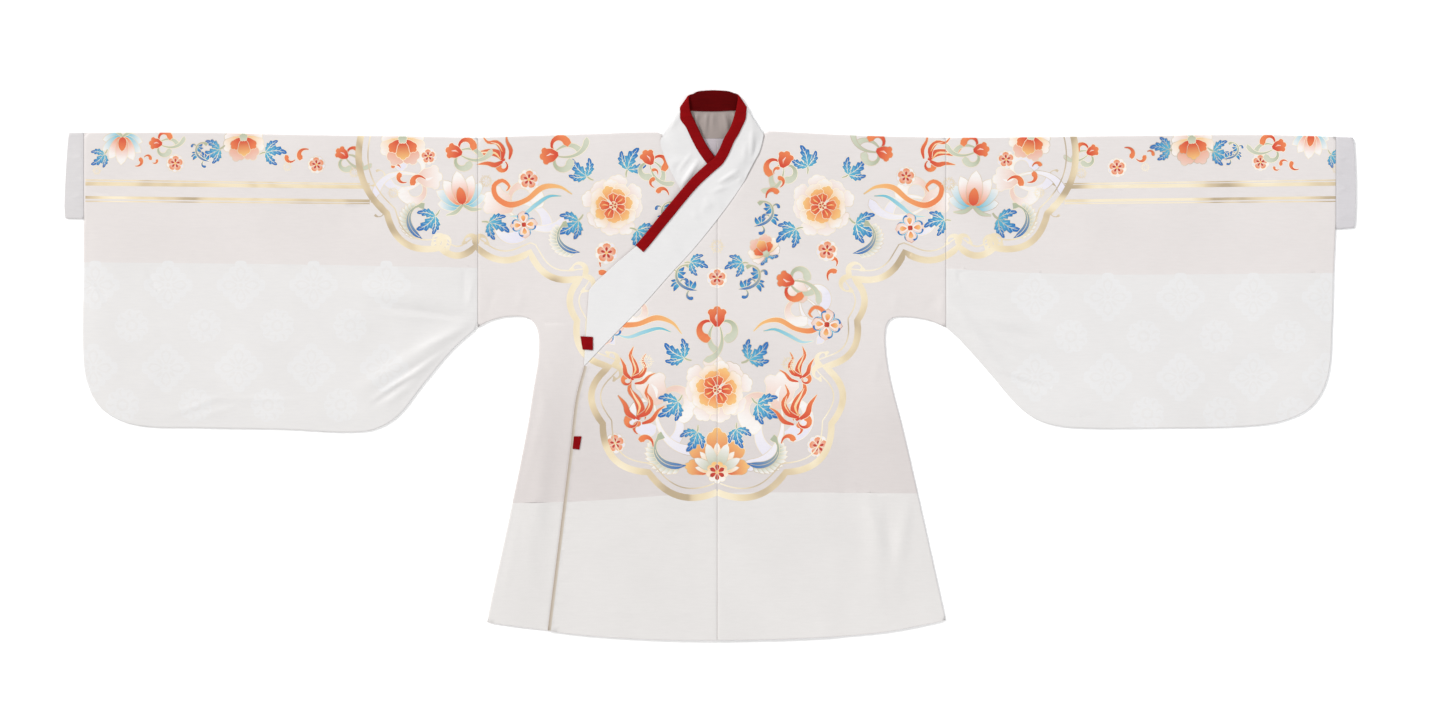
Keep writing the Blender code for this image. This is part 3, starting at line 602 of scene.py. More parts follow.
def patch(at, loop, colours, start, end, kind=THREAD, edged="pale_gold"):
    """One closed shape, with a gold edge round it. Its colour turns between two places on its axis."""
    loop = [at(*point) for point in loop]
    start, end = at(start, 0), at(end, 0)
    if edged:
        ink([grown(loop, EDGING)], (edged,), start, end, METAL)
    ink([counter_clockwise(loop)], colours, start, end, kind)


def ribbon(rows, extra=0.0):
    """Quads along rows of x, y, half width."""
    left = []
    right = []
    for i, (x, y, half) in enumerate(rows):
        before = rows[max(0, i - 1)]
        after = rows[min(len(rows) - 1, i + 1)]
        run = Vector((after[0] - before[0], after[1] - before[1])).normalized()
        half = max(THINNEST, half) + extra
        left.append((x - run.y * half, y + run.x * half))
        right.append((x + run.y * half, y - run.x * half))
    return [
        [right[i], right[i + 1], left[i + 1], left[i]]
        for i in range(len(rows) - 1)
    ]


def stroke(at, path, colours, kind=THREAD, edged="pale_gold", step=4.0):
    """A stroke that swells and thins along its path: rows of along, across, half width."""
    rows = [(*at(u, v), w * at.size) for u, v, w in soft_rows(path, step / at.size)]
    start, end = rows[0][:2], rows[-1][:2]
    if edged:
        ink(ribbon(rows, EDGING), (edged,), start, end, METAL)
    ink(ribbon(rows), colours, start, end, kind)


def curl_path(length, turn, width, bud=1.0, lean=1.7):
    """Rows of a scroll that starts straight and winds up, with a bud at its end."""
    widths = []
    for k in range(CURL_STEPS + 1):
        share = k / CURL_STEPS
        body = 0.35 + 0.65 * math.sin(math.pi * min(1.0, 1.25 * share) ** 0.8)
        end_bud = bud * math.exp(-((share - 0.97) / 0.07) ** 2)
        taper = min(1.0, 6.0 * share + 0.15)
        widths.append(width * taper * max(0.22, body * (1.0 - 0.55 * share) + 0.6 * end_bud))
    return wound_path(length, turn, lean, widths)


def comma_path(length, wind, width, lean=1.4):
    """Rows of a comma: a thin tail that swells into a round head as it winds."""
    widths = []
    for k in range(COMMA_STEPS + 1):
        share = k / COMMA_STEPS
        head = math.sqrt(max(0.0, 1.0 - (max(0.0, share - 0.84) / 0.16) ** 2))
        widths.append(width * (0.10 + 0.90 * share**1.2) * head)
    return wound_path(length, wind, lean, widths)


def leaf_loop(length, width, bend=0.12, fullness=0.8, teeth=0):
    """A pointed leaf along its axis, with forward teeth on both sides if it has any."""
    count = 3 * teeth if teeth else 8
    upper = []
    lower = []
    for k in range(count + 1):
        share = k / count
        middle = bend * length * 4 * share * (1 - share)
        half = width / 2 * math.sin(math.pi * share**0.85) ** fullness
        tip = teeth and k % 3 == 2
        if teeth and k < count:
            half *= (0.72, 0.94, 1.18)[k % 3]
        along = length * (share + (0.3 / count if tip else 0.0))
        upper.append((along, middle + half))
        lower.append((along, middle - half))
    return lower + upper[-2:0:-1]


def ruffled_loop(length, width, lobes=3, depth=0.16):
    """A broad petal with a wavy rim."""
    points = [(0.0, -0.10 * width), (0.30 * length, -0.36 * width)]
    count = lobes * 4
    for k in range(count + 1):
        turn = math.pi * (k / count - 0.5)
        wave = 1.0 - depth + depth * abs(math.sin(lobes * math.pi * k / count)) ** 0.6
        points.append((length * (0.56 + 0.44 * math.cos(turn) * wave), 0.52 * width * math.sin(turn) * wave))
    return points + [(0.30 * length, 0.36 * width), (0.0, 0.10 * width)]


def petal_loop(length, width, tip=0.10):
    """A petal that is broad near its end, with a small point."""
    shares = [(0.0, 0.10), (0.22, 0.30), (0.48, 0.46), (0.72, 0.50), (0.88, 0.36), (0.97, 0.12)]
    upper = [(length * along, width * half) for along, half in shares]
    lower = [(u, -v) for u, v in upper]
    return lower + [(length * (1.0 + tip), 0.0)] + upper[::-1]


def frill_loop(radius, lobes, depth, phase=0.0):
    """A round shape with a scalloped edge."""
    count = lobes * 5
    result = []
    for k in range(count):
        angle = 2 * math.pi * k / count
        reach = radius * (1.0 - depth + depth * abs(math.sin(lobes * angle / 2 + phase)) ** 0.6)
        result.append((reach * math.cos(angle), reach * math.sin(angle)))
    return result


def leaf(at, length, width, bend, teeth):
    """A toothed leaf with its veins."""
    patch(at, leaf_loop(length, width, bend, 0.8, teeth), ("cyan", "blue"), 0, length * 0.75)
    for side in (-1, 1):
        for share in (0.24, 0.44, 0.62):
            start = bend * length * 4 * share * (1 - share)
            vein = [
                (share * length, start, 0.3),
                ((share + 0.17) * length, start + side * 0.30 * width, 0.1),
            ]
            stroke(at, vein, ("pale_cyan",), THREAD, None, 8.0)
    middle = [(0.06 * length, 0.22 * bend * length, 0.2), (0.5 * length, bend * length, 0.5),
              (0.90 * length, 0.36 * bend * length, 0.1)]
    stroke(at, middle, ("pale_gold",), METAL, None, 8.0)


def leaves(at):
    """A spray of three leaves on a short stem."""
    stroke(at, [(-9, 3, 0.5), (-4, 0.5, 0.9), (2, 0, 0.6)], ("sage",))
    for place, bend in ((-1.0, -0.10), (0.0, -0.10), (1.0, 0.10)):
        length = 30.0 * (1.0 - 0.20 * abs(place))
        leaf(around(at, 46.0 * place), length, 30.0 * 0.44 * (1.0 - 0.20 * abs(place)), bend, 4)


def ring_of_petals(at, count, length, width, start, colours, phase=0.0, edged="pale_gold", tip=0.10):
    """Equal petals round a middle."""
    for k in range(count):
        petal = around(at, phase + 360.0 * k / count, start)
        patch(petal, petal_loop(length, width, tip), colours, 0, length, THREAD, edged)


def peony(at):
    """A full flower: three rings of ruffled petals, and curled ones round a seeded middle."""
    rings = (
        (8, 20, 22, 17, ("rose", "snow"), 8), (8, 19, 19, 11, ("peach", "snow"), 31),
        (7, 17, 16, 6, ("orange", "peach"), 12),
    )
    for count, length, width, start, colours, phase in rings:
        for k in range(count):
            sway = 0.12 * math.sin(2.4 * k + phase)
            petal = around(at, phase + 360.0 * k / count + 40.0 * sway, start)
            patch(petal, ruffled_loop(length * (1 + sway), width * (1 - 0.6 * sway)), colours, 0, length)
    for k in range(5):
        petal = around(at, 72 * k + 14 * math.sin(1.7 * k), 3.0)
        patch(petal, ruffled_loop(14 - k % 2 * 2, 12), WARM, 2, 15)
        stroke(petal, [(3, 0, 0.3), (8, 0.6, 0.8), (11, 0, 0.2)], ("peach",), THREAD, None)
    patch(at, frill_loop(4.6, 6, 0.25), ("peach", "pale_gold"), -5, 5)
    ring_of_petals(at, 5, 3.2, 2.2, 1.0, ("wine", "coral"), 0, None)


def half_peony(at):
    """A flower from the side: ruffled petals in a fan over two leaves."""
    for turn, bend in ((128, 0.1), (-128, -0.1)):
        leaf(around(at, turn), 20, 9, bend, 3)
    rows = (
        (92, 22, 17, ("rose", "snow")), (-92, 22, 17, ("rose", "snow")), (58, 27, 20, ("peach", "snow")),
        (-58, 27, 20, ("peach", "snow")),
        (22, 30, 21, ("orange", "rose")), (-24, 30, 21, ("orange", "rose")),
        (48, 19, 13, WARM), (-46, 19, 13, WARM), (0, 22, 16, ("coral", "peach")),
    )
    for turn, length, width, colours in rows:
        patch(around(at, turn, 1.5), ruffled_loop(length, width), colours, 3, length)
    patch(at, frill_loop(5, 5, 0.2), LEAFY, -5, 5)


def lotus(at):
    """A flower from the side, with pointed petals in a fan."""
    fans = (
        (("cyan", "snow"), 1.0, ((78, 30, 15), (-78, 30, 15), (52, 36, 16), (-52, 36, 16))),
        (("orange", "snow"), 0.8, ((28, 38, 17), (-28, 38, 17), (0, 42, 19))),
    )
    for colours, reach, petals in fans:
        for turn, length, width in petals:
            patch(around(at, turn), leaf_loop(length, width, 0.0, 0.6), colours, 4, length * reach)
    patch(around(at, 0), leaf_loop(22, 12, 0.0, 0.6), WARM, 0, 22)
    for turn, bow in ((112, 3), (-112, -3)):
        stroke(around(at, turn), [(0, 0, 1.2), (12, bow, 2.2), (24, 0, 0.5)], LEAFY)


def rosette(at):
    """A small flower with five petals on a pale rim."""
    patch(at, frill_loop(14.5, 10, 0.14), ("lilac", "snow"), -14, 14)
    ring_of_petals(at, 5, 11, 10, 1.5, ("rose", "orange"), 90, "pale_gold", 0.0)
    ring_of_petals(at, 5, 6.5, 3.4, 1.0, ("coral", "wine"), 90, None)
    patch(at, frill_loop(2.2, 5, 0.1), ("peach",), 0, 1, THREAD, None)


def star_flower(at):
    """A plain gold snow flower of thin threads."""
    for k in range(6):
        ray = around(at, 60 * k)
        stroke(ray, [(2.5, 0, 0.5), (12, 0, 0.5)], ("gold",), METAL, None)
        for side in (-1, 1):
            stroke(ray, [(6, 0, 0.4), (9.5, side * 3.4, 0.5)], ("gold",), METAL, None)
        patch(around(ray, 30, 5.5), leaf_loop(4.5, 2.2, 0.0), ("pale_gold",), 0, 4, METAL, None)


def cloud(at, head=WARM, tail=LEAFY):
    """A cloud: a lobed head between two curls that wind outward, over trailing drops."""
    for u, v, turn, length, wind, width in ((-4, 4, 150, 40, 120, 4.6), (-6, -3, 196, 52, -110, 4.2)):
        stroke(around_point(at, u, v, turn), comma_path(length, wind, width), tail, step=3.0)
    for side, colours in ((1, head), (-1, tail)):
        curl = [(u, v * side, w) for u, v, w in comma_path(46, 262, 6.0, 0.95)]
        stroke(around_point(at, -6, side * 2.0, side * 34), curl, colours, step=3.0)
    patch(around(at, 0, -7), ruffled_loop(24, 23, 3, 0.24), head, 3, 23)
    stroke(around(at, 0, -4), [(2, 0, 0.3), (7, 1.6, 1.2), (12, 0, 0.3)], (head[-1], "snow"), THREAD, None)


def pale_cloud(at):
    """A cloud in the ground's pale tones."""
    cloud(at, ("rose", "snow"), ("snow", "lilac"))


def drops(at):
    """Three loose cloud drops in a row."""
    rows = ((0, 0, 20, 32, -190, 5.8), (26, -14, -30, 25, 200, 4.8), (42, 4, 40, 18, -180, 3.6))
    for u, v, turn, length, wind, width in rows:
        stroke(around_point(at, u, v, turn), comma_path(length, wind, width), WARM, step=3.0)


def scroll(at):
    """A vine that winds up, with side curls and three small leaves where each one leaves it."""
    path = curl_path(96.0, 230.0, 3.4, 1.8)
    for k, way in enumerate((-1, 1, -1)):
        u, v, _ = path[2 + 4 * k]
        ahead = path[3 + 4 * k]
        facing = math.degrees(math.atan2(ahead[1] - v, ahead[0] - u))
        twig = around_point(at, u, v, facing + way * 46)
        stroke(twig, comma_path(30 - 4 * k, way * 220, 4.2), VINE[::-1], step=3.0)
        for lean in (-34, 2, 36):
            leaflet = around_point(at, u, v, facing - way * (66 + lean))
            patch(leaflet, leaf_loop(19, 8.2), ("cyan", "blue"), 0, 15)
    stroke(at, path, VINE)


def acanthus(at):
    """A long leaf that winds up at its end, with lobes along its outer side."""
    path = curl_path(92, 170.0, 6.4, 1.4, 1.5)
    for k in range(2, 13):
        u, v, half = path[k]
        facing = math.degrees(math.atan2(path[k + 1][1] - v, path[k + 1][0] - u))
        lobe = around_point(at, u, v, facing - 52)
        reach = 8.0 + 9.0 * math.sin(math.pi * (k - 1) / 12)
        patch(lobe, petal_loop(reach + half, 8.4), ("sage", "snow"), 0, reach + half)
    stroke(at, path, VINE)
    stroke(at, [(u, v, 0.5) for u, v, _ in path[1:12]], ("pale_gold",), METAL, None, 8.0)


def streamer(at):
    """Two long ribbons that wave side by side, one with a wound end."""
    wave = (
        (0, 0, 0.3), (0.16, 0.10, 2.0), (0.38, 0.10, 3.8), (0.60, -0.06, 3.4), (0.82, -0.12, 4.2),
        (0.99, -0.02, 3.6), (1.02, 0.13, 3.2), (0.91, 0.20, 2.6), (0.82, 0.12, 1.9), (0.86, 0.06, 0.5),
    )
    low = (
        (0.14, -0.02, 0.3), (0.30, -0.02, 2.0), (0.48, -0.13, 2.8), (0.66, -0.26, 2.0), (0.82, -0.27, 0.4),
    )
    for rows, colours in ((wave, ("peach", "orange")), (low, ("cyan", "pale_cyan"))):
        stroke(at, [(u * STREAMER_LENGTH, v * STREAMER_LENGTH, w) for u, v, w in rows], colours)


def flame(at):
    """Tongues of fire that lick from one curled root."""
    tongues = (
        ((2, 0, 2.4), (14, 6, 5.6), (30, 2, 4.6), (44, -7, 3.0), (60, -3, 0.3)),
        ((6, 2, 2.0), (12, 15, 4.2), (26, 21, 3.2), (38, 15, 2.0), (50, 20, 0.3)),
        ((4, -2, 2.0), (12, -12, 3.8), (24, -15, 2.9), (38, -24, 0.3)),
        ((-4, 6, 1.2), (0, 20, 3.0), (12, 30, 1.8), (18, 40, 0.3)),
    )
    lights = (
        ((8, 0, 0.4), (20, 5, 1.6), (34, -1, 1.3), (46, -6, 0.3)),
        ((11, 12, 0.3), (22, 19, 1.0), (34, 17, 0.3)),
    )
    stroke(around(at, 200), comma_path(36, 290, 5.8, 1.1), WARM)
    for tongue in tongues:
        stroke(at, tongue, WARM)
    for light in lights:
        stroke(at, light, ("peach", "pale_gold"), THREAD, None)


def quatrefoil(at):
    """A four-petalled ornament with leaf tips between the petals."""
    for k in range(4):
        patch(around(at, 90 * k, 3), petal_loop(20, 17, 0.06), ("snow", "rose"), 0, 20, THREAD, "coral")
        patch(around(at, 90 * k, 6), petal_loop(11, 8, 0.06), ("orange", "peach"), 0, 11, THREAD, None)
        for side in (-1, 1):
            tip = around(at, 90 * k + 45, 9)
            stroke(tip, comma_path(20, side * 170, 1.9), ("cyan", "blue"), THREAD, None, 3.0)
    patch(at, frill_loop(4.5, 4, 0.2), ("coral", "wine"), -4, 4)


def palmette(at):
    """A fan of petals over a row of smaller ones, with a seeded middle."""
    for turn, length in ((78, 34), (-78, 34), (40, 42), (-40, 42), (0, 48)):
        fan = around(at, turn, 6)
        patch(fan, ruffled_loop(length, length * 0.56), ("coral", "peach"), 4, length)
        patch(fan, leaf_loop(length * 0.62, length * 0.2, 0.0, 0.7), ("peach", "snow"), 4, length * 0.6)
    for turn, length in ((59, 26), (-59, 26), (20, 30), (-20, 30)):
        patch(around(at, turn, 6), leaf_loop(length, length * 0.4, 0.0, 0.6), ("sage", "snow"), 0, length)
    patch(at, frill_loop(13, 9, 0.18), ("snow", "peach"), -9, 9)
    ring_of_petals(at, 6, 8, 5, 1.5, ("coral", "wine"), 0, "pale_gold")
    patch(at, frill_loop(2.6, 5, 0.2), ("peach",), 0, 1, THREAD, None)


# The lobed border, one half: out from the centre seam, y, and how far the lobe before it swells
BORDER_CENTRE_X = 10.0
BORDER = [
    (0, -178, 0.0), (96, -150, 0.20), (160, -82, 0.24), (150, -2, 0.26), (196, 62, 0.24),
    (190, 122, 0.22), (262, 158, 0.22), (338, 166, 0.20), (388, 164, 0.24), (462, 212, 0.24),
    (496, 330, 0.16),
]
BORDER_HALF = 4.6
BORDER_INSET = 13.0
BORDER_LINE_HALF = 0.9
BORDER_STEP = 7.0
BORDER_CLEAR = 0.8
BORDER_CURLS = [(3, 20, 150), (5, 24, 170), (7, 20, 160), (8, 24, 200)]

# Stripes along the sleeves: y at the cuff, y at the border, half width
SLEEVE_STRIPES = [(259.0, 253.6, 0.9), (253.8, 249.2, 2.7), (234.6, 229.6, 2.0), (229.2, 225.8, 0.8)]
STRIPES_FROM = 486.0
STRIPES_TO = 884.0
STRIPE_STEPS = 8
STRIPE_CURLS = [(251.0, -230), (228.0, 250)]

# Where the upper tone ends: x, y from the wearer's right sleeve to the left one
TONE_RIGHT = [(-900, 144), (-600, 141), (-325, 136)]
TONE_LEFT = [(330, 135), (420, 130), (560, 126.5), (900, 129)]
TONE_BODY = [(-340, -194), (-187, -191), (10, -179), (340, -180)]

# The body's upper tone deepens between these two heights, from side to side; all tones end past the hem
SHADE_FROM_Y = 60.0
SHADE_TO_Y = -120.0
SHADE_X = (-326.0, 331.0)
FOOT_Y = -400.0

# Motifs of one half: drawing, out from the centre seam, y, turn, size
MOTIFS = [
    (pale_cloud, 84, -44, 74, 2.1), (pale_cloud, 118, 96, 130, 1.5), (pale_cloud, 300, 226, 20, 1.8),
    (pale_cloud, 410, 262, 176, 1.5), (palmette, 0, -150, 90, 1.16), (acanthus, 44, -140, -8, 0.86),
    (peony, 0, -34, 0, 1.28), (leaves, 54, -52, -34, 1.2), (leaves, 44, 8, 42, 1.2),
    (leaves, 30, -92, -66, 1.0), (cloud, 0, 62, 90, 1.2), (rosette, 0, 122, 0, 0.95),
    (star_flower, 0, 166, 0, 0.9), (drops, 92, -112, 62, 0.9), (flame, 112, -78, 84, 1.0),
    (rosette, 140, -112, 0, 1.0), (flame, 120, -22, 96, 0.8), (streamer, 52, 46, 12, 0.92),
    (star_flower, 98, 4, 0, 0.9), (cloud, 100, 118, 158, 1.05), (quatrefoil, 156, 54, 0, 0.95),
    (scroll, 30, 106, 4, 0.7), (half_peony, 66, 158, 112, 0.84), (leaves, 36, 142, 200, 0.9),
    (drops, 158, 116, 96, 0.8), (peony, 146, 224, 0, 1.14), (leaves, 192, 200, -26, 1.2),
    (leaves, 112, 188, 218, 1.15), (leaves, 128, 276, 112, 1.1), (scroll, 50, 196, 8, 0.66),
    (cloud, 92, 284, 66, 1.0), (rosette, 156, 158, 0, 1.05), (leaves, 184, 266, 44, 1.05),
    (drops, 66, 236, 60, 0.8), (acanthus, 190, 156, 10, 0.74), (cloud, 232, 296, -14, 1.05),
    (streamer, 204, 240, -4, 0.95), (quatrefoil, 268, 194, 0, 0.82), (flame, 296, 284, 28, 0.9),
    (rosette, 266, 262, 0, 0.95), (lotus, 356, 224, 80, 1.15), (leaves, 392, 206, -30, 1.15),
    (leaves, 320, 200, 204, 1.05), (cloud, 366, 300, 8, 0.95), (star_flower, 322, 256, 0, 0.85),
    (drops, 406, 258, 24, 0.95), (half_peony, 442, 318, -96, 1.2), (acanthus, 414, 178, 30, 0.72),
    (rosette, 402, 290, 0, 0.8), (star_flower, 452, 240, 0, 0.75), (cloud, 524, 296, 30, 0.78),
    (star_flower, 508, 270, 0, 0.7), (rosette, 558, 278, 0, 0.85), (drops, 572, 302, -10, 0.8),
    (leaves, 634, 300, 176, 0.95), (half_peony, 662, 318, -90, 1.15), (leaves, 694, 300, -12, 1.0),
    (scroll, 712, 286, 12, 0.5), (rosette, 760, 284, 0, 0.8), (cloud, 780, 308, 8, 0.8),
    (star_flower, 600, 276, 0, 0.6), (lotus, 834, 322, -92, 0.9), (leaves, 858, 296, -40, 0.8),
    (drops, 812, 276, 170, 0.62), (star_flower, 868, 272, 0, 0.55),
]

SWAY_TURN = 6.0
SWAY_SIZE = 0.05
SWAY_PLACE = 2.5


def border_points():
    """Points along the lobes from the centre seam outward."""
    result = []
    for (x0, y0, _), (x1, y1, swell) in zip(BORDER, BORDER[1:]):
        run = Vector((x1 - x0, y1 - y0))
        out = Vector((run.y, -run.x)).normalized()
        count = max(6, round(run.length / BORDER_STEP))
        for k in range(count + 1):
            share = k / count
            bulge = swell * run.length * 4 * share * (1 - share)
            result.append((x0 + run.x * share + out.x * bulge, y0 + run.y * share + out.y * bulge))
    return result


def draw_border(side):
    """The broad gold band with its thin inner line and scrolls, on one side of the centre seam."""
    points = [(BORDER_CENTRE_X + side * x, y) for x, y in border_points()]
    for half, inset, name in ((BORDER_HALF, 0.0, "gold"), (BORDER_LINE_HALF, BORDER_INSET, "pale_gold")):
        rows = []
        for i, (x, y) in enumerate(points):
            before = points[max(0, i - 2)]
            after = points[min(len(points) - 1, i + 2)]
            run = Vector((after[0] - before[0], after[1] - before[1])).normalized() * side
            rows.append((x - run.y * inset, y + run.x * inset, half))
        rows = [
            row for i, row in enumerate(rows)
            if i == 0 or math.dist(row[:2], rows[i - 1][:2]) > BORDER_CLEAR
        ]
        flat_ink([counter_clockwise(quad) for quad in ribbon(rows)], name, METAL)
    for corner, length, wind in BORDER_CURLS:
        x, y, _ = BORDER[corner]
        for way in (1, -1):
            ahead = BORDER[corner + way]
            facing = math.degrees(math.atan2(ahead[1] - y, ahead[0] - x))
            at = mirrored(placed(BORDER_CENTRE_X + side * x, y), side)
            rows = curl_path(length * 1.9, -way * wind * 1.5, 4.8, 1.3, 1.1)
            stroke(around(at, facing + way * 118), rows, ("gold", "pale_gold"), METAL, None)


def draw_stripes(side):
    """The gold stripes along one sleeve, and the curls where they start."""
    for at_cuff, at_border, half in SLEEVE_STRIPES:
        rows = []
        for k in range(STRIPE_STEPS + 1):
            x = BORDER_CENTRE_X + side * (STRIPES_FROM + (STRIPES_TO - STRIPES_FROM) * k / STRIPE_STEPS)
            rows.append((x, at_border + (at_cuff - at_border) * k / STRIPE_STEPS, half))
        flat_ink([counter_clockwise(quad) for quad in ribbon(rows)], "gold", METAL)
    for y, wind in STRIPE_CURLS:
        at = mirrored(placed(BORDER_CENTRE_X + side * STRIPES_FROM, y), side)
        stroke(around(at, 180), curl_path(46, wind, 2.6, 1.0), ("gold", "pale_gold"), METAL, None)


# Woven medallions of the sleeves' lower zone: the first one's x and y, how many in the row, and form
MEDALLION_PITCH = 101.8
MEDALLION_ROWS = [
    (-860, 112, 5, "diamond"), (-809, 55, 4, "round"), (-863, -4, 5, "diamond"), (-822, -56, 4, "round"),
    (455, 95, 5, "diamond"), (505, 40, 4, "round"), (455, -17, 5, "diamond"), (612, -68, 3, "round"),
]


def scalloped_diamond(radius, scallops, depth):
    """A diamond with scalloped sides."""
    loop = []
    for side in range(4):
        turn = math.pi / 2 * side
        for k in range(scallops * 4):
            share = k / (scallops * 4)
            reach = radius * (1.0 - share), radius * share
            out = depth * abs(math.sin(math.pi * scallops * share))
            u, v = reach[0] + out * 0.7, reach[1] + out * 0.7
            loop.append((u * math.cos(turn) - v * math.sin(turn), u * math.sin(turn) + v * math.cos(turn)))
    return loop


def woven(at, loop, tone):
    """A faint figure in the ground's own colour."""
    patch(at, loop, (tone,), 0, 1, GROUND, None)


def draw_medallion(x, y, form):
    """A faint ornament: leaves in a scalloped diamond, or petals in a frilled round."""
    at = placed(x, y)
    if form == "diamond":
        woven(at, scalloped_diamond(34, 4, 4.0), "damask")
        for k in range(4):
            woven(around(at, 90 * k, 5.5), petal_loop(20, 14), "white")
            woven(around(at, 90 * k, 8), petal_loop(14, 8.5), "damask")
            woven(around(at, 90 * k + 45, 7), leaf_loop(12, 4.4, 0.0), "white")
        woven(at, frill_loop(3.0, 8, 0.2), "white")
        return
    woven(at, frill_loop(24, 9, 0.14), "damask")
    for k in range(9):
        woven(around(at, 40 * k + 12, 12), leaf_loop(11, 3.6, 0.3), "white")
    woven(at, frill_loop(9, 6, 0.16, 0.4), "white")
    woven(at, frill_loop(5.4, 6, 0.2), "damask")


def tone_zone(rows, foot):
    """A closed area below a line."""
    line = [row[:2] for row in soft_rows(rows, 40.0)]
    return [counter_clockwise(line + [(rows[-1][0], foot), (rows[0][0], foot)])]


def front_edge_strip():
    """The shaded strip along the outer front's turned edge, as shapes of its own piece."""
    shapes = []
    line = [Vector(row) for row in soft_rows(FRONT_EDGE, 14.0)]
    for a, b in zip(line, line[1:]):
        run = (b - a).normalized()
        out = Vector((-run.y, run.x))
        quad = [tuple(a - out), tuple(b - out), tuple(b + out * EDGE_TURN), tuple(a + out * EDGE_TURN)]
        start = tuple(a + out * 0.4)
        end = tuple(a + out * EDGE_TURN)
        shapes.append((
            [counter_clockwise(quad)], linear("fold_shade"), linear("fold_beige"), start, end, GROUND,
        ))
    return shapes


def draw_pattern():
    """The whole woven pattern, from the ground up."""
    left, right = SHADE_X
    zone = [(left, SHADE_FROM_Y), (left, FOOT_Y), (right, FOOT_Y), (right, SHADE_FROM_Y)]
    ink([zone], ("ivory", "ivory_shade"), (0.0, SHADE_FROM_Y), (0.0, SHADE_TO_Y), GROUND)
    for rows, tone in ((TONE_RIGHT, "white"), (TONE_BODY, "body_white"), (TONE_LEFT, "white")):
        flat_ink(tone_zone(rows, FOOT_Y), tone, GROUND)
    for x, y, count, form in MEDALLION_ROWS:
        for k in range(count):
            draw_medallion(x + MEDALLION_PITCH * k, y, form)
    for side in (-1, 1):
        draw_stripes(side)
    for number, (draw, out, y, turn, size) in enumerate(MOTIFS):
        for side in ((1,) if out == 0 else (-1, 1)):
            sway = math.sin(1.7 * number + 2.0 * side) if out else 0.0
            x = BORDER_CENTRE_X + side * out + SWAY_PLACE * sway
            at = mirrored(placed(x, y - SWAY_PLACE * sway, size * (1.0 + SWAY_SIZE * sway)), side)
            draw(around(at, turn + SWAY_TURN * sway))
    for side in (-1, 1):
        draw_border(side)


# Meshes


def inside(loop, points):
    """Which points are inside a closed plan loop."""
    hit = np.zeros(len(points), dtype=bool)
    x, y = points[:, 0], points[:, 1]
    for (x0, y0), (x1, y1) in zip(loop, loop[1:] + loop[:1]):
        if y0 == y1:
            continue
        crosses = (y0 > y) != (y1 > y)
        hit ^= crosses & (x < x0 + (x1 - x0) * (y - y0) / (y1 - y0))
    return hit


def net(loop, step):
    """Points on an even triangular net inside a loop, clear of its edge."""
    xs, ys = zip(*loop)
    rows = int((max(ys) - min(ys)) / (step * NET_ROW)) + 1
    columns = int((max(xs) - min(xs)) / step) + 2
    points = np.array([
        (min(xs) + (column + 0.5 * (row % 2)) * step, min(ys) + (row + 0.5) * step * NET_ROW)
        for row in range(rows) for column in range(columns)
    ])
    return clear_inside(loop, points, NET_CLEAR * step)


def clear_inside(loop, points, room):
    """The points that are inside a loop, and more than room from its edge."""
    points = points[inside(loop, points)]
    return points[away_from(points, loop + loop[:1]) > room]


def crease_points(loop):
    """Points along and beside each crease that lies inside a loop."""
    points = []
    for x0, y0, x1, y1, _, spread in CREASES:
        length = math.dist((x0, y0), (x1, y1))
        count = int(length / CREASE_STEP) + 1
        for k in range(count + 1):
            for side in CREASE_ROWS:
                points.append((
                    x0 + (x1 - x0) * k / count - side * spread * (y1 - y0) / length,
                    y0 + (y1 - y0) * k / count + side * spread * (x1 - x0) / length,
                ))
    return clear_inside(loop, np.array(points), CREASE_CLEAR)


def rows_beside(curve, depths, loop):
    """Runs of points beside a curve, on its left, that stay inside a loop."""
    curve = [Vector(point) for point in curve]
    result = []
    for depth in depths:
        row = []
        for i, point in enumerate(curve):
            run = curve[min(i + 1, len(curve) - 1)] - curve[max(i - 1, 0)]
            row.append(tuple(point + Vector((-run.y, run.x)).normalized() * depth))
        points = np.array(row)
        keep = inside(loop, points) & (away_from(points, loop + loop[:1]) > ROW_CLEAR * depth)
        for kept, stretch in groupby(zip(keep, points), key=lambda pair: pair[0]):
            stretch = [tuple(point) for _, point in stretch]
            if kept and len(stretch) > 1:
                result.append(stretch)
    return result


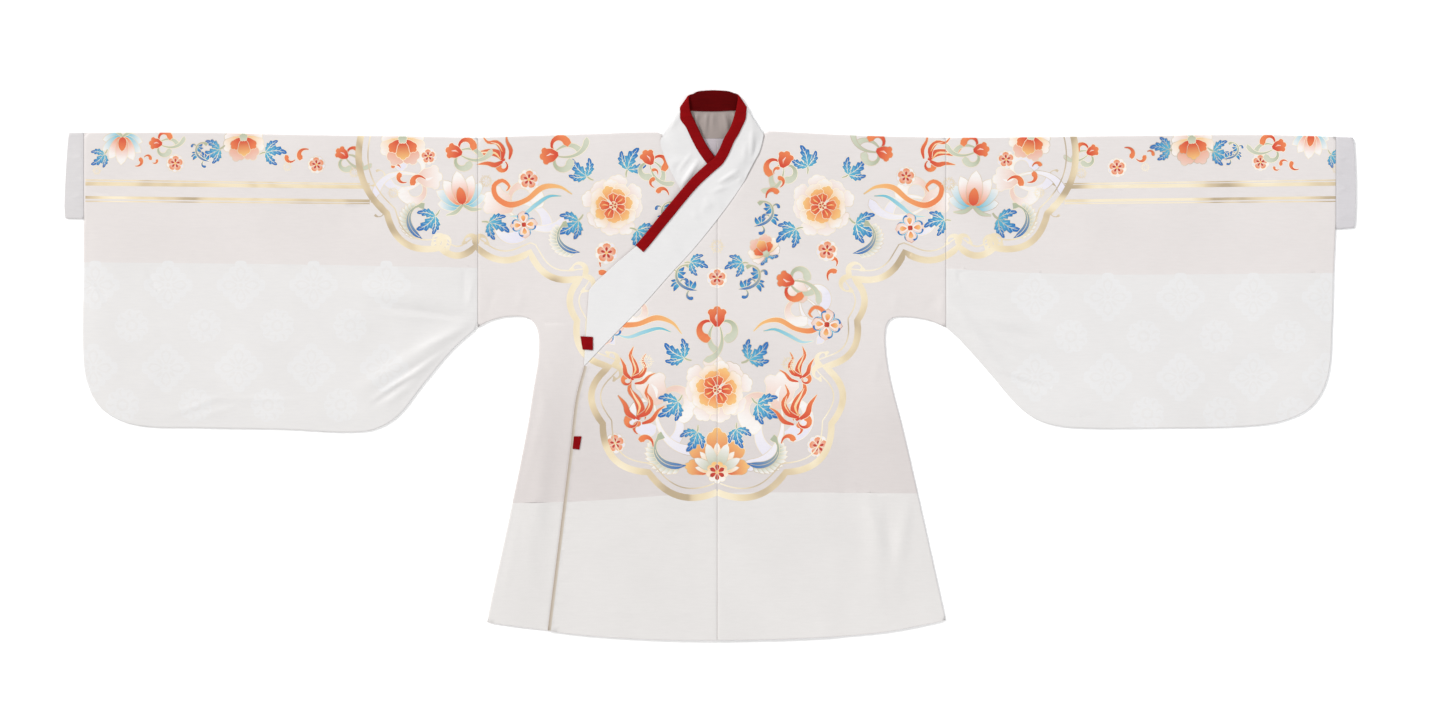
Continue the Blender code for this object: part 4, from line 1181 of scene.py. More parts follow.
def triangulate(outline, others, runs, points, shapes):
    """Triangles over the outline: plan points, corners, the loops each is in, and its shape."""
    xs, ys = zip(*outline)
    low = (min(xs) - 1, min(ys) - 1)
    high = (max(xs) + 1, max(ys) + 1)
    verts = list(outline)
    faces = [list(range(len(verts)))]
    for loop in others:
        faces.append(list(range(len(verts), len(verts) + len(loop))))
        verts.extend(loop)
    edges = []
    laid = []
    for number, shape in enumerate(shapes):
        for polygon in shape[0]:
            px, py = zip(*polygon)
            if max(px) < low[0] or min(px) > high[0] or max(py) < low[1] or min(py) > high[1]:
                continue
            count = len(polygon)
            edges.extend((len(verts) + i, len(verts) + (i + 1) % count) for i in range(count))
            verts.extend(polygon)
            laid.append((number, polygon, min(px), max(px), min(py), max(py)))
    for run in runs:
        edges.extend((len(verts) + i, len(verts) + i + 1) for i in range(len(run) - 1))
        verts.extend(run)
    verts.extend(tuple(p) for p in points)
    found, _, triangles, _, _, origin = delaunay_2d_cdt(
        [Vector(v) for v in verts], edges, faces, 0, POINT_ROOM, True)
    found = np.array([tuple(p) for p in found])
    kept = [i for i, inputs in enumerate(origin) if 0 in inputs]
    corners = np.array([triangles[i] for i in kept])
    memberships = [[k in origin[i] for k in range(len(others) + 1)] for i in kept]
    middles = found[corners].mean(axis=1)
    order = np.argsort(middles[:, 0])
    middles = middles[order]
    top = np.full(len(corners), -1)
    for number, polygon, left, right, foot, head in laid:
        first, last = np.searchsorted(middles[:, 0], (left, right))
        near = first + np.flatnonzero((middles[first:last, 1] > foot) & (middles[first:last, 1] < head))
        top[near[inside(polygon, middles[near])]] = number
    topmost = np.empty_like(top)
    topmost[order] = top
    used, corners = np.unique(corners, return_inverse=True)
    return found[used], corners.reshape(-1, 3), np.array(memberships), topmost


def vertex_normals(verts, faces):
    """Normals weighted by each corner's angle."""
    result = np.zeros_like(verts)
    sides = [verts[faces[:, (k + 1) % 3]] - verts[faces[:, k]] for k in range(3)]
    lengths = [np.linalg.norm(side, axis=1) for side in sides]
    normal = np.cross(sides[0], -sides[2])
    normal /= np.maximum(np.linalg.norm(normal, axis=1), TINY)[:, None]
    for k in range(3):
        before = (k + 2) % 3
        cos = (sides[k] * -sides[before]).sum(axis=1) / np.maximum(lengths[k] * lengths[before], TINY)
        np.add.at(result, faces[:, k], normal * np.arccos(np.clip(cos, -1, 1))[:, None])
    return result / np.maximum(np.linalg.norm(result, axis=1), TINY)[:, None]


def open_edges(faces):
    """Edges with a face on one side only."""
    edges = set(map(tuple, faces[:, [0, 1, 1, 2, 2, 0]].reshape(-1, 2).tolist()))
    return sorted((a, b) for a, b in edges if (b, a) not in edges)


def unit(vector):
    return vector / max(np.linalg.norm(vector), TINY)


def walled(verts, faces, outer, inner, inner_faces, partner, cloth):
    """
    Two skins of one cloth, joined by rounded rims: vertices, faces and the number of rim faces.
    The open edges and their directions come from verts, and partner finds a rim point's inner one.
    """
    normals = vertex_normals(verts, faces)
    rim = open_edges(faces)
    outward = {}
    for a, b in rim:
        out = unit(np.cross(verts[b] - verts[a], normals[a] + normals[b]))
        for point in (a, b):
            outward[point] = outward.get(point, 0.0) + out
    opposite = {point: partner(point) for point in outward}
    middle_at = {point: len(outer) + len(inner) + i for i, point in enumerate(outward)}
    middles = [
        (outer[point] + inner[opposite[point]]) / 2 + unit(out) * EDGE_BULGE * cloth
        for point, out in outward.items()
    ]
    rims = []
    for a, b in rim:
        am, bm = middle_at[a], middle_at[b]
        ai, bi = len(outer) + opposite[a], len(outer) + opposite[b]
        rims += [(b, a, am), (b, am, bm), (bm, am, ai), (bm, ai, bi)]
    rims = [face for face in rims if len(set(face)) == 3]
    verts = np.vstack([outer, inner, np.array(middles)])
    return verts, np.vstack([faces, inner_faces[:, ::-1] + len(outer), np.array(rims)]), len(rims)


def new_piece(name, node, verts, faces, colours, threads, flat, material):
    """A piece in metres that stands for a node, with corner colours and its own flat map."""
    mesh = bpy.data.meshes.new(name)
    mesh.from_pydata((verts * MM).tolist(), [], faces.tolist())
    for label, values in (("Pattern", colours), ("Thread", threads)):
        layer = mesh.color_attributes.new(label, "FLOAT_COLOR", "CORNER")
        values = np.column_stack([values, np.ones(len(values))]).astype(np.float32)
        layer.data.foreach_set("color", values.ravel())
    layer = mesh.uv_layers.new(name="OFBake")
    layer.data.foreach_set("uv", flat.astype(np.float32).ravel())
    mesh.shade_smooth()
    mesh.set_sharp_from_angle(angle=SHARP_ANGLE)
    mesh.materials.append(material)
    item = bpy.data.objects.new(name, mesh)
    bpy.context.scene.collection.objects.link(item)
    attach(item, "root")
    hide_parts(node)
    print(name, len(faces), "triangles")
    return item


def islands(width, height):
    """Where a piece's outer front, outer back and two inner skins go on its map: x, y, scale."""
    tall = height >= width
    long, short, share = (height, width, 0.62) if tall else (width, height, 0.66)
    scale = min(MAP_ROOM / long, share * MAP_ROOM / short)
    start = 2 * MAP_MARGIN + short * scale
    small = min((1.0 - MAP_MARGIN - start) / short, MAP_ROOM / 3 / long) * MAP_SMALL
    spots = [(start, MAP_MARGIN + k * (MAP_ROOM / 3 + MAP_GAP)) for k in range(3)]
    return [(MAP_MARGIN, MAP_MARGIN, scale)] + [(*(spot if tall else spot[::-1]), small) for spot in spots]


def flat_map(plan, faces, island):
    """Corner positions on the map, from plan points and each face's island."""
    low = plan.min(axis=0)
    spots = np.array(islands(*(plan.max(axis=0) - low)))
    spot = np.repeat(spots[island], 3, axis=0)
    return spot[:, :2] + (plan[faces.ravel()] - low) * spot[:, 2:]


def painted(points, faces, topmost, ground, shapes):
    """Colours and thread kinds at the corners of faces, from each face's shape."""
    plain = ((), linear(ground), linear(ground), (0.0, 0.0), (1.0, 0.0), GROUND)
    first, second, starts, ends, kinds = (np.array(column) for column in list(zip(plain, *shapes))[1:])
    number = np.repeat(topmost + 1, 3)
    span = ends[number] - starts[number]
    share = ((points[faces.ravel()] - starts[number]) * span).sum(axis=1) / (span**2).sum(axis=1).clip(1e-9)
    share = np.clip(share, 0, 1)[:, None]
    kind = kinds[number]
    threads = np.column_stack([kind == THREAD, kind == METAL, np.zeros(len(kind))])
    return first[number] * (1 - share) + second[number] * share, threads


def rolled(depth):
    """The height share over a turned edge, from its fold to the flat."""
    return np.sqrt(1.0 - (1.0 - np.clip(depth / ROLL_RADIUS, 0.0, 1.0)) ** 2)


def loop_of(curves):
    """The points round a loop of curves."""
    return [point for points, _ in curves for point in points[:-1]]


def curves_of(curves, kind):
    """The curves of one kind."""
    return [points for points, own in curves if own == kind]


def with_crossings(loop, plan):
    """A loop with the plan points that lie on it, so that a second net shares its edge."""
    result = []
    for a, b in zip(loop, loop[1:] + loop[:1]):
        span = np.array(b) - np.array(a)
        share = (plan - a) @ span / (span @ span)
        off = np.abs(np.cross(plan - a, span)) / np.linalg.norm(span)
        on = (share > 0.0) & (share < 1.0) & (off < ON_EDGE)
        far = np.minimum(share, 1.0 - share) * np.linalg.norm(span) > ON_EDGE
        between = sorted((share[i], tuple(plan[i])) for i in np.flatnonzero(on & far))
        result += [a] + [point for _, point in between]
    return result


def lined(verts, faces, inner, inner_faces):
    """The outer side and a plainer inner side, joined at their edges: a wall of one cloth."""
    lining = inner - vertex_normals(inner, inner_faces) * CLOTH
    tree = KDTree(len(inner))
    for i, point in enumerate(inner):
        tree.insert(point, i)
    tree.balance()

    def nearest(point):
        _, near, gap = tree.find(verts[point])
        assert gap < RIM_GAP, f"the two sides of the cloth differ at {verts[point]} by {gap}"
        return near

    return walled(verts, faces, verts, lining, inner_faces, nearest, CLOTH)


def cloth_piece(name, node, slot, front, back, height, material, shapes=ART, ground="ivory"):
    """A piece of one or two layers, from the curves round its front and, if it has one, its back."""
    outline = loop_of(back or front)
    front_loop = loop_of(front)
    others = [front_loop] if back and front_loop != outline else []
    turned = curves_of(front, "turned")
    seams = curves_of(front, "seam") + curves_of(front, "neck")
    runs = []
    for curve in turned:
        runs += rows_beside(curve, ROLL_ROWS, outline)
    for curve in seams:
        runs += rows_beside(curve, SEAM_ROWS, outline)
    for curve in curves_of(front, "strip"):
        runs += rows_beside(curve, (EDGE_TURN, EDGE_TURN + EDGE_TURN_STEP), outline)
    points = np.vstack([net(outline, GRID_STEP), crease_points(outline)])

    def surface(outline, others, shapes):
        """The outer side of the cloth: vertices, faces, each face's island, and its shape."""
        plan, corners, memberships, topmost = triangulate(outline, others, runs, points, shapes)
        count = len(plan)
        in_front = memberships[:, -1]
        fold = np.full(count, NOWHERE_NEAR)
        if back:
            fold = np.min([away_from(plan, curve) for curve in turned], axis=0)
        seam = np.min([away_from(plan, curve) for curve in seams], axis=0)
        top = height(plan) + CLOTH / 2 - SEAM_DIP * np.exp(-(seam / SEAM_DIP_WIDTH) ** 2)
        top = ROLL_RADIUS + (top - ROLL_RADIUS) * rolled(fold)
        verts = np.column_stack([plan, top])
        faces = corners[in_front]
        island = np.zeros(len(faces), dtype=int)
        shape_of = topmost[in_front]
        if back:
            low = ROLL_RADIUS - ROLL_RADIUS * rolled(fold)
            verts = np.vstack([verts, np.column_stack([plan, low])])
            index = np.where(fold < ON_FOLD, np.arange(count), np.arange(count) + count)
            faces = np.vstack([faces, index[corners][:, ::-1]])
            island = np.concatenate([island, np.ones(len(corners), dtype=int)])
            shape_of = np.concatenate([shape_of, topmost])
        used, faces = np.unique(faces, return_inverse=True)
        return verts[used], faces.reshape(-1, 3), island, shape_of, plan

    verts, faces, island, shape_of, plan = surface(outline, others, shapes)
    others = [with_crossings(loop, plan) for loop in others]
    inner, inner_faces, inner_island, _, _ = surface(with_crossings(outline, plan), others, [])
    colours, threads = painted(verts[:, :2], faces, shape_of, ground, shapes)
    verts, faces, rims = lined(verts, faces, inner, inner_faces)
    plain = len(faces) - len(island)
    lining = np.tile(linear("lining"), (3 * plain, 1))
    lining[3 * len(inner_faces):] = linear(ground)
    colours = np.vstack([colours, lining])
    threads = np.vstack([threads, np.zeros((3 * plain, 3))])
    island = np.concatenate([island, inner_island + 2, np.full(rims, 2)])
    flat = flat_map(verts[:, :2], faces, island)
    return new_piece(name, node, verts, faces, colours, threads, flat, material)


# Collar


def turn_rows(turn, front_first):
    """Collar rows over the roll at one side of the neck."""
    seam, free = Vector(turn[0:2]), Vector(turn[2:4])
    radii = np.array((turn[4], (turn[4] + turn[5]) / 2, turn[5]))
    along = (free - seam).normalized()
    out = Vector((along.y, -along.x)) if front_first else Vector((-along.y, along.x))
    rows = []
    for step in range(TURN_STEPS + 1):
        angle = math.pi * (0.5 - step / TURN_STEPS)
        slide = -along * TURN_SLANT * angle - out * (1.0 - math.cos(angle))
        heights = TURN_BASE_Z + radii * (1.0 + math.sin(angle))
        rows.append((*(seam + slide * turn[4]), *(free + slide * turn[5]), *heights.tolist()))
    return rows if front_first else rows[::-1]


def soft_collar_rows():
    """All collar rows from the outer tip round the neck to the inner tip, evenly spaced."""
    rows = COLLAR_OUTER + turn_rows(TURN_LEFT, True) + COLLAR_BACK
    rows = rows + turn_rows(TURN_RIGHT, False) + COLLAR_INNER
    spans = []
    for a, b in zip(rows, rows[1:]):
        seam = math.dist((a[0], a[1], a[4]), (b[0], b[1], b[4]))
        free = math.dist((a[2], a[3], a[6]), (b[2], b[3], b[6]))
        spans.append((seam + free) / 2)
    return smooth_rows(rows, spans, COLLAR_STEP)


def row_near(rows, seam):
    """The index of the row whose seam point is nearest to a plan point."""
    return min(range(len(rows)), key=lambda i: math.dist(rows[i][:2], seam))


def collar_point(row, depth):
    """A point of the collar's middle surface, depth millimetres in from its finished free edge."""
    seam_x, seam_y, free_x, free_y, seam_z, band_z, free_z = row
    width = math.dist((seam_x, seam_y), (free_x, free_y))
    share = depth / width
    if depth < BAND_LINE:
        z = free_z + (band_z - free_z) * float(ease(depth / BAND_LINE))
    else:
        z = band_z + (seam_z - band_z) * float(ease((depth - BAND_LINE) / (width - BAND_LINE)))
    return Vector((free_x + (seam_x - free_x) * share, free_y + (seam_y - free_y) * share, z))


def collar_normal(rows, i, depth):
    """The direction out of the collar's outside."""
    along = collar_point(rows[min(i + 1, len(rows) - 1)], depth) - collar_point(rows[max(i - 1, 0)], depth)
    across = collar_point(rows[i], depth + 1.0) - collar_point(rows[i], max(0.0, depth - 1.0))
    return across.cross(along).normalized()


def strip_piece(name, node, columns, thickness, material, across, other_side):
    """A closed wall on a net of points, given as equally long rows, with a colour for each column."""
    size = len(columns[0])
    net_points = np.array(columns)
    verts = net_points.reshape(-1, 3)
    faces = []
    for c in range(len(columns) - 1):
        for k in range(size - 1):
            a = c * size + k
            faces += [(a, a + size, a + size + 1), (a, a + size + 1, a + 1)]
    faces = np.array(faces)
    along, depths = (
        np.concatenate([[0], np.cumsum(np.linalg.norm(np.diff(line, axis=0), axis=1))])
        for line in (net_points[:, size // 2], net_points[0])
    )
    plan = np.array([(u, v) for u in along for v in depths])
    normals = vertex_normals(verts, faces) * thickness / 2
    skin_faces, skin = len(faces), verts
    verts, faces, rims = walled(
        skin, faces, skin + normals, skin - normals, faces, lambda point: point, thickness)
    plan = np.vstack([plan, plan, np.zeros((len(verts) - 2 * len(plan), 2))])
    island = np.repeat((0, 1, 2), (skin_faces, skin_faces, rims))
    rows_on_map = max(1, round(math.sqrt(along[-1] / depths[-1] / STRIP_ROW_SHAPE)))
    flat = strip_map(plan, faces, island, rows_on_map, along[-1], depths[-1])
    one_side = np.tile([linear(tone) for tone in across], (len(columns), 1))
    rest = np.tile(linear(other_side), (len(verts) - len(one_side), 1))
    colours = np.vstack([one_side, rest])[faces.ravel()]
    return new_piece(name, node, verts, faces, colours, np.zeros_like(colours), flat, material)


def strip_map(plan, faces, island, rows_on_map, length, width):
    """A long strip cut into rows on its map: the outside in the upper half, the inside in the lower."""
    corners = plan[faces.ravel()]
    middle = np.repeat(corners.reshape(-1, 3, 2).mean(axis=1)[:, 0], 3)
    row = np.minimum(middle / length * rows_on_map, rows_on_map - 1e-6).astype(int)
    side = np.repeat(island, 3)
    share = corners[:, 0] / length * rows_on_map - row
    lane = STRIP_LANES / rows_on_map
    u = STRIP_MARGIN + STRIP_ROOM * np.clip(share, -STRIP_MARGIN, 1.0 + STRIP_MARGIN)
    v = STRIP_MARGIN + 0.5 * side + row * lane + corners[:, 1] / width * lane * STRIP_FILL
    return np.where(side == 2, RIM_SPOT, (u, v)).T


# Creases of the collar seen on its two fronts, mm: start x, y, end x, y, rise, spread
OUTER_COLLAR_CREASES = [
    (59, 324, 58, 290, 2.0, 3.2), (66, 314, 60, 286, -1.6, 2.8), (50, 306, 46, 280, 1.0, 4.0),
    (14, 256, 42, 274, 2.0, 2.8), (20, 250, 44, 264, -1.4, 2.6), (4, 242, 28, 252, 1.2, 3.2),
    (-14, 214, 8, 232, 0.8, 5.0), (-62, 176, -36, 150, 0.7, 6.0), (-110, 118, -92, 92, 0.5, 8.0),
]
INNER_COLLAR_CREASES = [
    (-38, 254, -14, 289, 2.6, 3.4), (-27, 250, -8, 278, -2.0, 3.2), (-44, 272, -24, 298, 1.3, 3.2),
    (-58, 316, -40, 292, 0.8, 5.0), (-56, 330, -40, 352, 0.9, 4.0), (-50, 258, -44, 284, -1.0, 3.2),
]

# Creases keep clear of the guard and the seam, and troughs stay shallower than folds
WRINKLE_BLEND = 10.0
CREASE_ROOM = 2.0
CREASE_BLEND = 6.0
TROUGH_SHARE = 0.4

# Wrinkles of the collar: where along it (share), how wide, depth where strongest, reach, rise
COLLAR_WRINKLES = [
    (0.255, 0.005, 36, 12, 0.8), (0.268, 0.004, 34, 10, -0.8), (0.285, 0.005, 36, 14, 0.9),
    (0.30, 0.006, 50, 14, 0.9), (0.345, 0.005, 46, 18, 1.2), (0.36, 0.004, 50, 14, -1.0),
    (0.375, 0.005, 52, 14, 0.9), (0.466, 0.0026, 46, 18, 2.2), (0.474, 0.0022, 44, 16, -1.8),
    (0.482, 0.0026, 44, 22, 2.6), (0.490, 0.0022, 46, 16, -2.0), (0.498, 0.003, 50, 18, 2.2),
    (0.508, 0.0022, 44, 18, -2.0), (0.516, 0.0024, 42, 14, 1.6), (0.526, 0.0028, 46, 20, 2.6),
    (0.535, 0.0022, 46, 16, -2.0), (0.542, 0.0026, 48, 18, 2.4), (0.553, 0.0024, 46, 16, -1.4),
    (0.66, 0.006, 50, 16, 1.0), (0.70, 0.005, 46, 16, -0.8),
]


def make_collar(rows, material):
    """The collar band: one strip from the outer tip round the neck to the inner tip."""
    first, last, left_turn, right_turn = (
        row_near(rows, spot[:2]) for spot in (GUARD_FIRST_ROW, GUARD_LAST_ROW, TURN_LEFT, TURN_RIGHT))
    columns = []
    for i, row in enumerate(rows):
        width = math.dist(row[:2], row[2:4])
        past_guard = max(0, first - i, i - last) * COLLAR_STEP
        wrapped = COLLAR_OVER_GUARD_Z * max(0.0, 1.0 - past_guard / WRAP_FADE)
        depths = np.linspace(wrapped, width, COLLAR_ACROSS + 1)
        points = np.array([collar_point(row, depth) for depth in depths])
        share = i / (len(rows) - 1)
        lift = sum(
            top * np.exp(-((share - place) / spread) ** 2 - ((depths - at_depth) / reach) ** 2)
            for place, spread, at_depth, reach, top in COLLAR_WRINKLES
        )
        lift *= ease((depths - GUARD_INSIDE) / WRINKLE_BLEND)
        creases = OUTER_COLLAR_CREASES if i < left_turn else INNER_COLLAR_CREASES if i > right_turn else []
        free = ease((depths - GUARD_OUTSIDE - CREASE_ROOM) / CREASE_BLEND)
        lift += free * creased(points[:, :2], creases)
        lift *= ease((width - depths) / CREASE_BLEND)
        points[:, 2] += np.where(lift > 0.0, lift, TROUGH_SHARE * lift)
        columns.append(points)
    # Painted shade: the collar's whole inner side is grey-brown for the shade in the neck, and the other
    # side keeps the collar's white
    tones = ["collar_painted_shade"] * (COLLAR_ACROSS + 1)
    return strip_piece(
        "collar_band", "collar", columns, COLLAR_CLOTH, material, tones, "collar")


def guard_outside(i, turns):
    """The guard's outside width at a row: the turns cut it at a slant, so it is wider there."""
    away = min(abs(i - turn) for turn in turns) - TURN_STEPS // 2
    share = float(ease(1.0 - away * COLLAR_STEP / GUARD_FADE))
    return GUARD_OUTSIDE + (GUARD_AT_TURN - GUARD_OUTSIDE) * share


def make_guard(rows, material):
    """The red strip that wraps the collar's free edge and ends square on the left front."""
    first, last, *turns = (
        row_near(rows, spot[:2]) for spot in (GUARD_FIRST_ROW, GUARD_LAST_ROW, TURN_LEFT, TURN_RIGHT))
    edge = COLLAR_OVER_GUARD_Z
    columns = []
    for i in range(first, last + 1):
        outside = guard_outside(i, turns)
        centre, normal = collar_point(rows[i], edge), collar_normal(rows, i, edge)
        outward = (centre - collar_point(rows[i], edge + 2.0)).normalized()
        column = []
        for k in range(GUARD_OUT_STEPS + 1):
            depth = outside + (edge - outside) * k / GUARD_OUT_STEPS
            column.append(collar_point(rows[i], depth) + collar_normal(rows, i, depth) * GUARD_OUT)
        for k in range(1, GUARD_ROUND_STEPS):
            turn = math.pi * (0.5 - k / GUARD_ROUND_STEPS)
            column.append(centre + (outward * math.cos(turn) + normal * math.sin(turn)) * GUARD_OUT)
        for k in range(GUARD_IN_STEPS + 1):
            depth = edge + (GUARD_INSIDE - edge) * k / GUARD_IN_STEPS
            column.append(collar_point(rows[i], depth) - collar_normal(rows, i, depth) * GUARD_OUT)
        columns.append([(x, y, max(z, GUARD_CLOTH / 2)) for x, y, z in column])
    shaded = len(columns[0]) - GUARD_RED_COLUMNS
    tones = ["red"] * GUARD_RED_COLUMNS + ["shaded_red"] * shaded
    return strip_piece(
        "guard_strip", "collar_guard", columns, GUARD_CLOTH, material, tones, "red")


# Panels


def with_end_x(points, x):
    """The curve with its last point at x."""
    return points[:-1] + [(x, points[-1][1])]


def with_start_x(points, x):
    """The curve with its first point at x."""
    return [(x, points[0][1])] + points[1:]


def moved_x(points, old, new):
    """The curve with its points at one seam's x moved to the piece's own side of the seam."""
    return [(new, y) if abs(x - old) < 1e-6 else (x, y) for x, y in points]


def spaced(points, room):
    """A curve thinned so that its points are at least room apart, with both ends kept."""
    kept = [points[0]]
    for point in points[1:-1]:
        if math.dist(point, kept[-1]) >= room and math.dist(point, points[-1]) >= room:
            kept.append(point)
    return kept + [points[-1]]


def straight(start, end, step=EDGE_STEP):
    """A straight curve."""
    count = max(1, round(math.dist(start, end) / step))
    return [
        (start[0] + (end[0] - start[0]) * k / count, start[1] + (end[1] - start[1]) * k / count)
        for k in range(count + 1)
    ]


def linked(curves, step=EDGE_STEP):
    """Curves in order round a loop, with a straight seam wherever one doesn't meet the next."""
    result = []
    for (points, kind), (after, _) in zip(curves, curves[1:] + curves[:1]):
        result.append((points, kind))
        if math.dist(points[-1], after[0]) > SEAM_ROOM:
            result.append((straight(points[-1], after[0], step), "seam"))
    return result


def neckline(rows, first, last):
    """The edge of a panel beside the collar's seam, between two collar rows."""
    points = []
    for row in rows[first:last + 1]:
        seam = Vector(row[:2])
        points.append(tuple(seam + (seam - Vector(row[2:4])).normalized() * SEAM_ROOM))
    return points


def make_half(name, node, side, rows, height, material):
    """One half of the body: front and back in one, folded at the shoulder, closed at the side."""
    curves, turn, crossing, seam_x = HALVES[side]
    centre_x = CENTRE_SEAM_X + side * SEAM_ROOM
    neck, low, nape = (row_near(rows, spot[:2]) for spot in (turn, crossing, NAPE))
    front_neck = neckline(rows, min(low, neck), max(low, neck))[::-side]
    front_neck = spaced(with_end_x(front_neck, centre_x), NECK_STEP)
    back_neck = neckline(rows, min(neck, nape), max(neck, nape))
    back_neck = [point for point in back_neck if side * (point[0] - centre_x) > NAPE_CLEAR]
    ends = [front_neck[0], (centre_x, rows[nape][1] - SEAM_ROOM)]
    back_neck = spaced(
        ends[:1] + back_neck[1:] + ends[1:] if side > 0 else ends[1:] + back_neck[:-1] + ends[:1], NECK_STEP)
    shoulder, flank, hem = (
        moved_x(moved_x(soft_rows(curve), seam_x, seam_x - side * SEAM_ROOM), CENTRE_SEAM_X, centre_x)
        for curve in curves
    )
    if side > 0:
        shoulder = shoulder[:-1] + ends[:1]
    else:
        shoulder = ends[:1] + shoulder[1:]
        front_neck = front_neck[::-1]
    loops = [
        linked([(line, "neck"), (hem, "open"), (flank, "turned"), (shoulder, "turned")][::side])
        for line in (front_neck, back_neck)
    ]
    return cloth_piece(name, node, "upper_cloth", *loops, height, material)


def make_overlaps(rows, material):
    """The outer overlap over the right front, and the hidden inner overlap below the left front."""
    centre_x = CENTRE_SEAM_X - SEAM_ROOM
    top = with_end_x(neckline(rows, 0, row_near(rows, OUTER_CROSSING)), centre_x)
    top = spaced(top, NECK_STEP)[::-1]
    edge = [top[-1]] + soft_rows(FRONT_EDGE)[1:]
    hem = [p for p in soft_rows(HEM_RIGHT) if edge[-1][0] + HEM_CLEAR < p[0] < centre_x - HEM_CLEAR]
    hem = [edge[-1]] + hem + [(centre_x, HEM_LEFT[0][1])]
    curves = linked([(top, "neck"), (edge, "strip"), (hem, "open")])
    outer = cloth_piece(
        "outer_overlap", "front_overlap", "upper_cloth", curves, None, outer_height, material,
        ART + front_edge_strip())

    centre_x = CENTRE_SEAM_X + SEAM_ROOM
    top = with_start_x(neckline(rows, row_near(rows, INNER_CROSSING), len(rows) - 1), centre_x)
    top = spaced(top, NECK_STEP)[::-1]
    hem = straight((centre_x, INNER_HEM[0][1]), INNER_HEM[1])
    curves = linked([(top, "neck"), (hem, "open"), (straight(hem[-1], top[0]), "open")])
    inner = cloth_piece("inner_overlap_cloth", "inner_overlap", "upper_cloth", curves, None,
                        inner_overlap_height, material, [])
    return outer, inner


def make_sleeve(name, node, side, material):
    """A sleeve: folded along the top, closed below and at the wrist under the cuff."""
    curves, seam_x, cuff_x = SLEEVES[side]
    foot, fold = (moved_x(soft_rows(curve), seam_x, seam_x + side * SEAM_ROOM) for curve in curves)
    cuff_x -= side * SEAM_ROOM
    if side > 0:
        fold = with_start_x(fold, cuff_x)
    else:
        fold = with_end_x(fold, cuff_x)
        foot = with_start_x(foot, cuff_x)
    curves = linked([(foot, "turned"), (fold, "turned")][::side])
    return cloth_piece(name, node, "upper_cloth", curves, curves, sleeve_height, material)


def make_cuff(name, node, side, ground, material):
    """A cuff: a flat tube with an open end, away from the sleeve, round the mouth and back."""
    (leave, mouth, back), cuff_x = CUFFS[side]
    cuff_x += side * SEAM_ROOM
    leave = straight((cuff_x, leave[0][1]), leave[1], CUFF_STEP)
    back = straight(back[0], (cuff_x, back[1][1]), CUFF_STEP)
    mouth = soft_rows(mouth, MOUTH_STEP)
    curves = linked([(leave, "turned"), (mouth, "open"), (back, "turned")], MOUTH_STEP)
    return cloth_piece(name, node, "cuff_cloth", curves, curves, sleeve_height, material, [], ground)


def make_tie(name, node, corners, low, high, material):
    """A red tie end, which steps from low to high where it turns over the front edge."""
    a, b, c, d = (Vector(corner) for corner in corners)
    columns = []
    for i in range(TIE_STEPS + 1):
        left, right = a.lerp(b, i / TIE_STEPS), d.lerp(c, i / TIE_STEPS)
        column = []
        for k in range(TIE_STEPS + 1):
            x, y = left.lerp(right, k / TIE_STEPS)
            share = float(ease((x - TIE_DROP_X[0]) / (TIE_DROP_X[1] - TIE_DROP_X[0])))
            dent = TIE_DENT * math.sin(TIE_DENT_TURNS[0] * i) * math.sin(TIE_DENT_TURNS[1] * k)
            column.append((x, y, low + (high - low) * share + dent))
        columns.append(column)
    tones = ["red"] * (TIE_STEPS + 1)
    return strip_piece(name, node, columns, GUARD_CLOTH, material, tones, "red")


# Materials

# Painted reflections of the woven gold: tones from dark to bright, each at its place in the glint noise,
# stand in for the metal's glints
PAINTED_GOLD_REFLECTIONS = (
    (0.35, (0.26, 0.18, 0.11)), (0.41, (0.56, 0.44, 0.29)),
    (0.48, (0.78, 0.66, 0.45)), (0.60, (0.94, 0.86, 0.68)),
)
GLINT_PAINT_SHARE = 0.55
GOLD_METAL = 0.3
THREAD_LIFT = 0.8
WEAVE_WAVES = 0.314
SLUB_STRETCH = (60.0, 420.0, 60.0)
WEAVE_DEPTH = 0.0003


def node_maker(name):
    """A new material with its shader, and functions that add and join nodes."""
    material = bpy.data.materials.new(name)
    material.use_nodes = True
    tree = material.node_tree
    shader = tree.nodes["Principled BSDF"]

    def add(kind, **values):
        node = tree.nodes.new(kind)
        for key, value in values.items():
            if hasattr(node, key):
                setattr(node, key, value)
            else:
                node.inputs[key.replace("_", " ")].default_value = value
        return node

    def join(a, output, b, socket):
        tree.links.new(a.outputs[output], b.inputs[socket])

    return material, shader, add, join


def mixed(add, join, factor, factor_output, a, a_output, b, b_output, blend="MIX"):
    """A colour mix node. A plain colour may stand in for either side."""
    mix = add("ShaderNodeMix", data_type="RGBA", blend_type=blend)
    if factor is None:
        mix.inputs[0].default_value = factor_output
    else:
        join(factor, factor_output, mix, 0)
    for side, (node, output) in ((6, (a, a_output)), (7, (b, b_output))):
        if node is None:
            mix.inputs[side].default_value = (*output, 1.0)
        else:
            join(node, output, mix, side)
    return mix


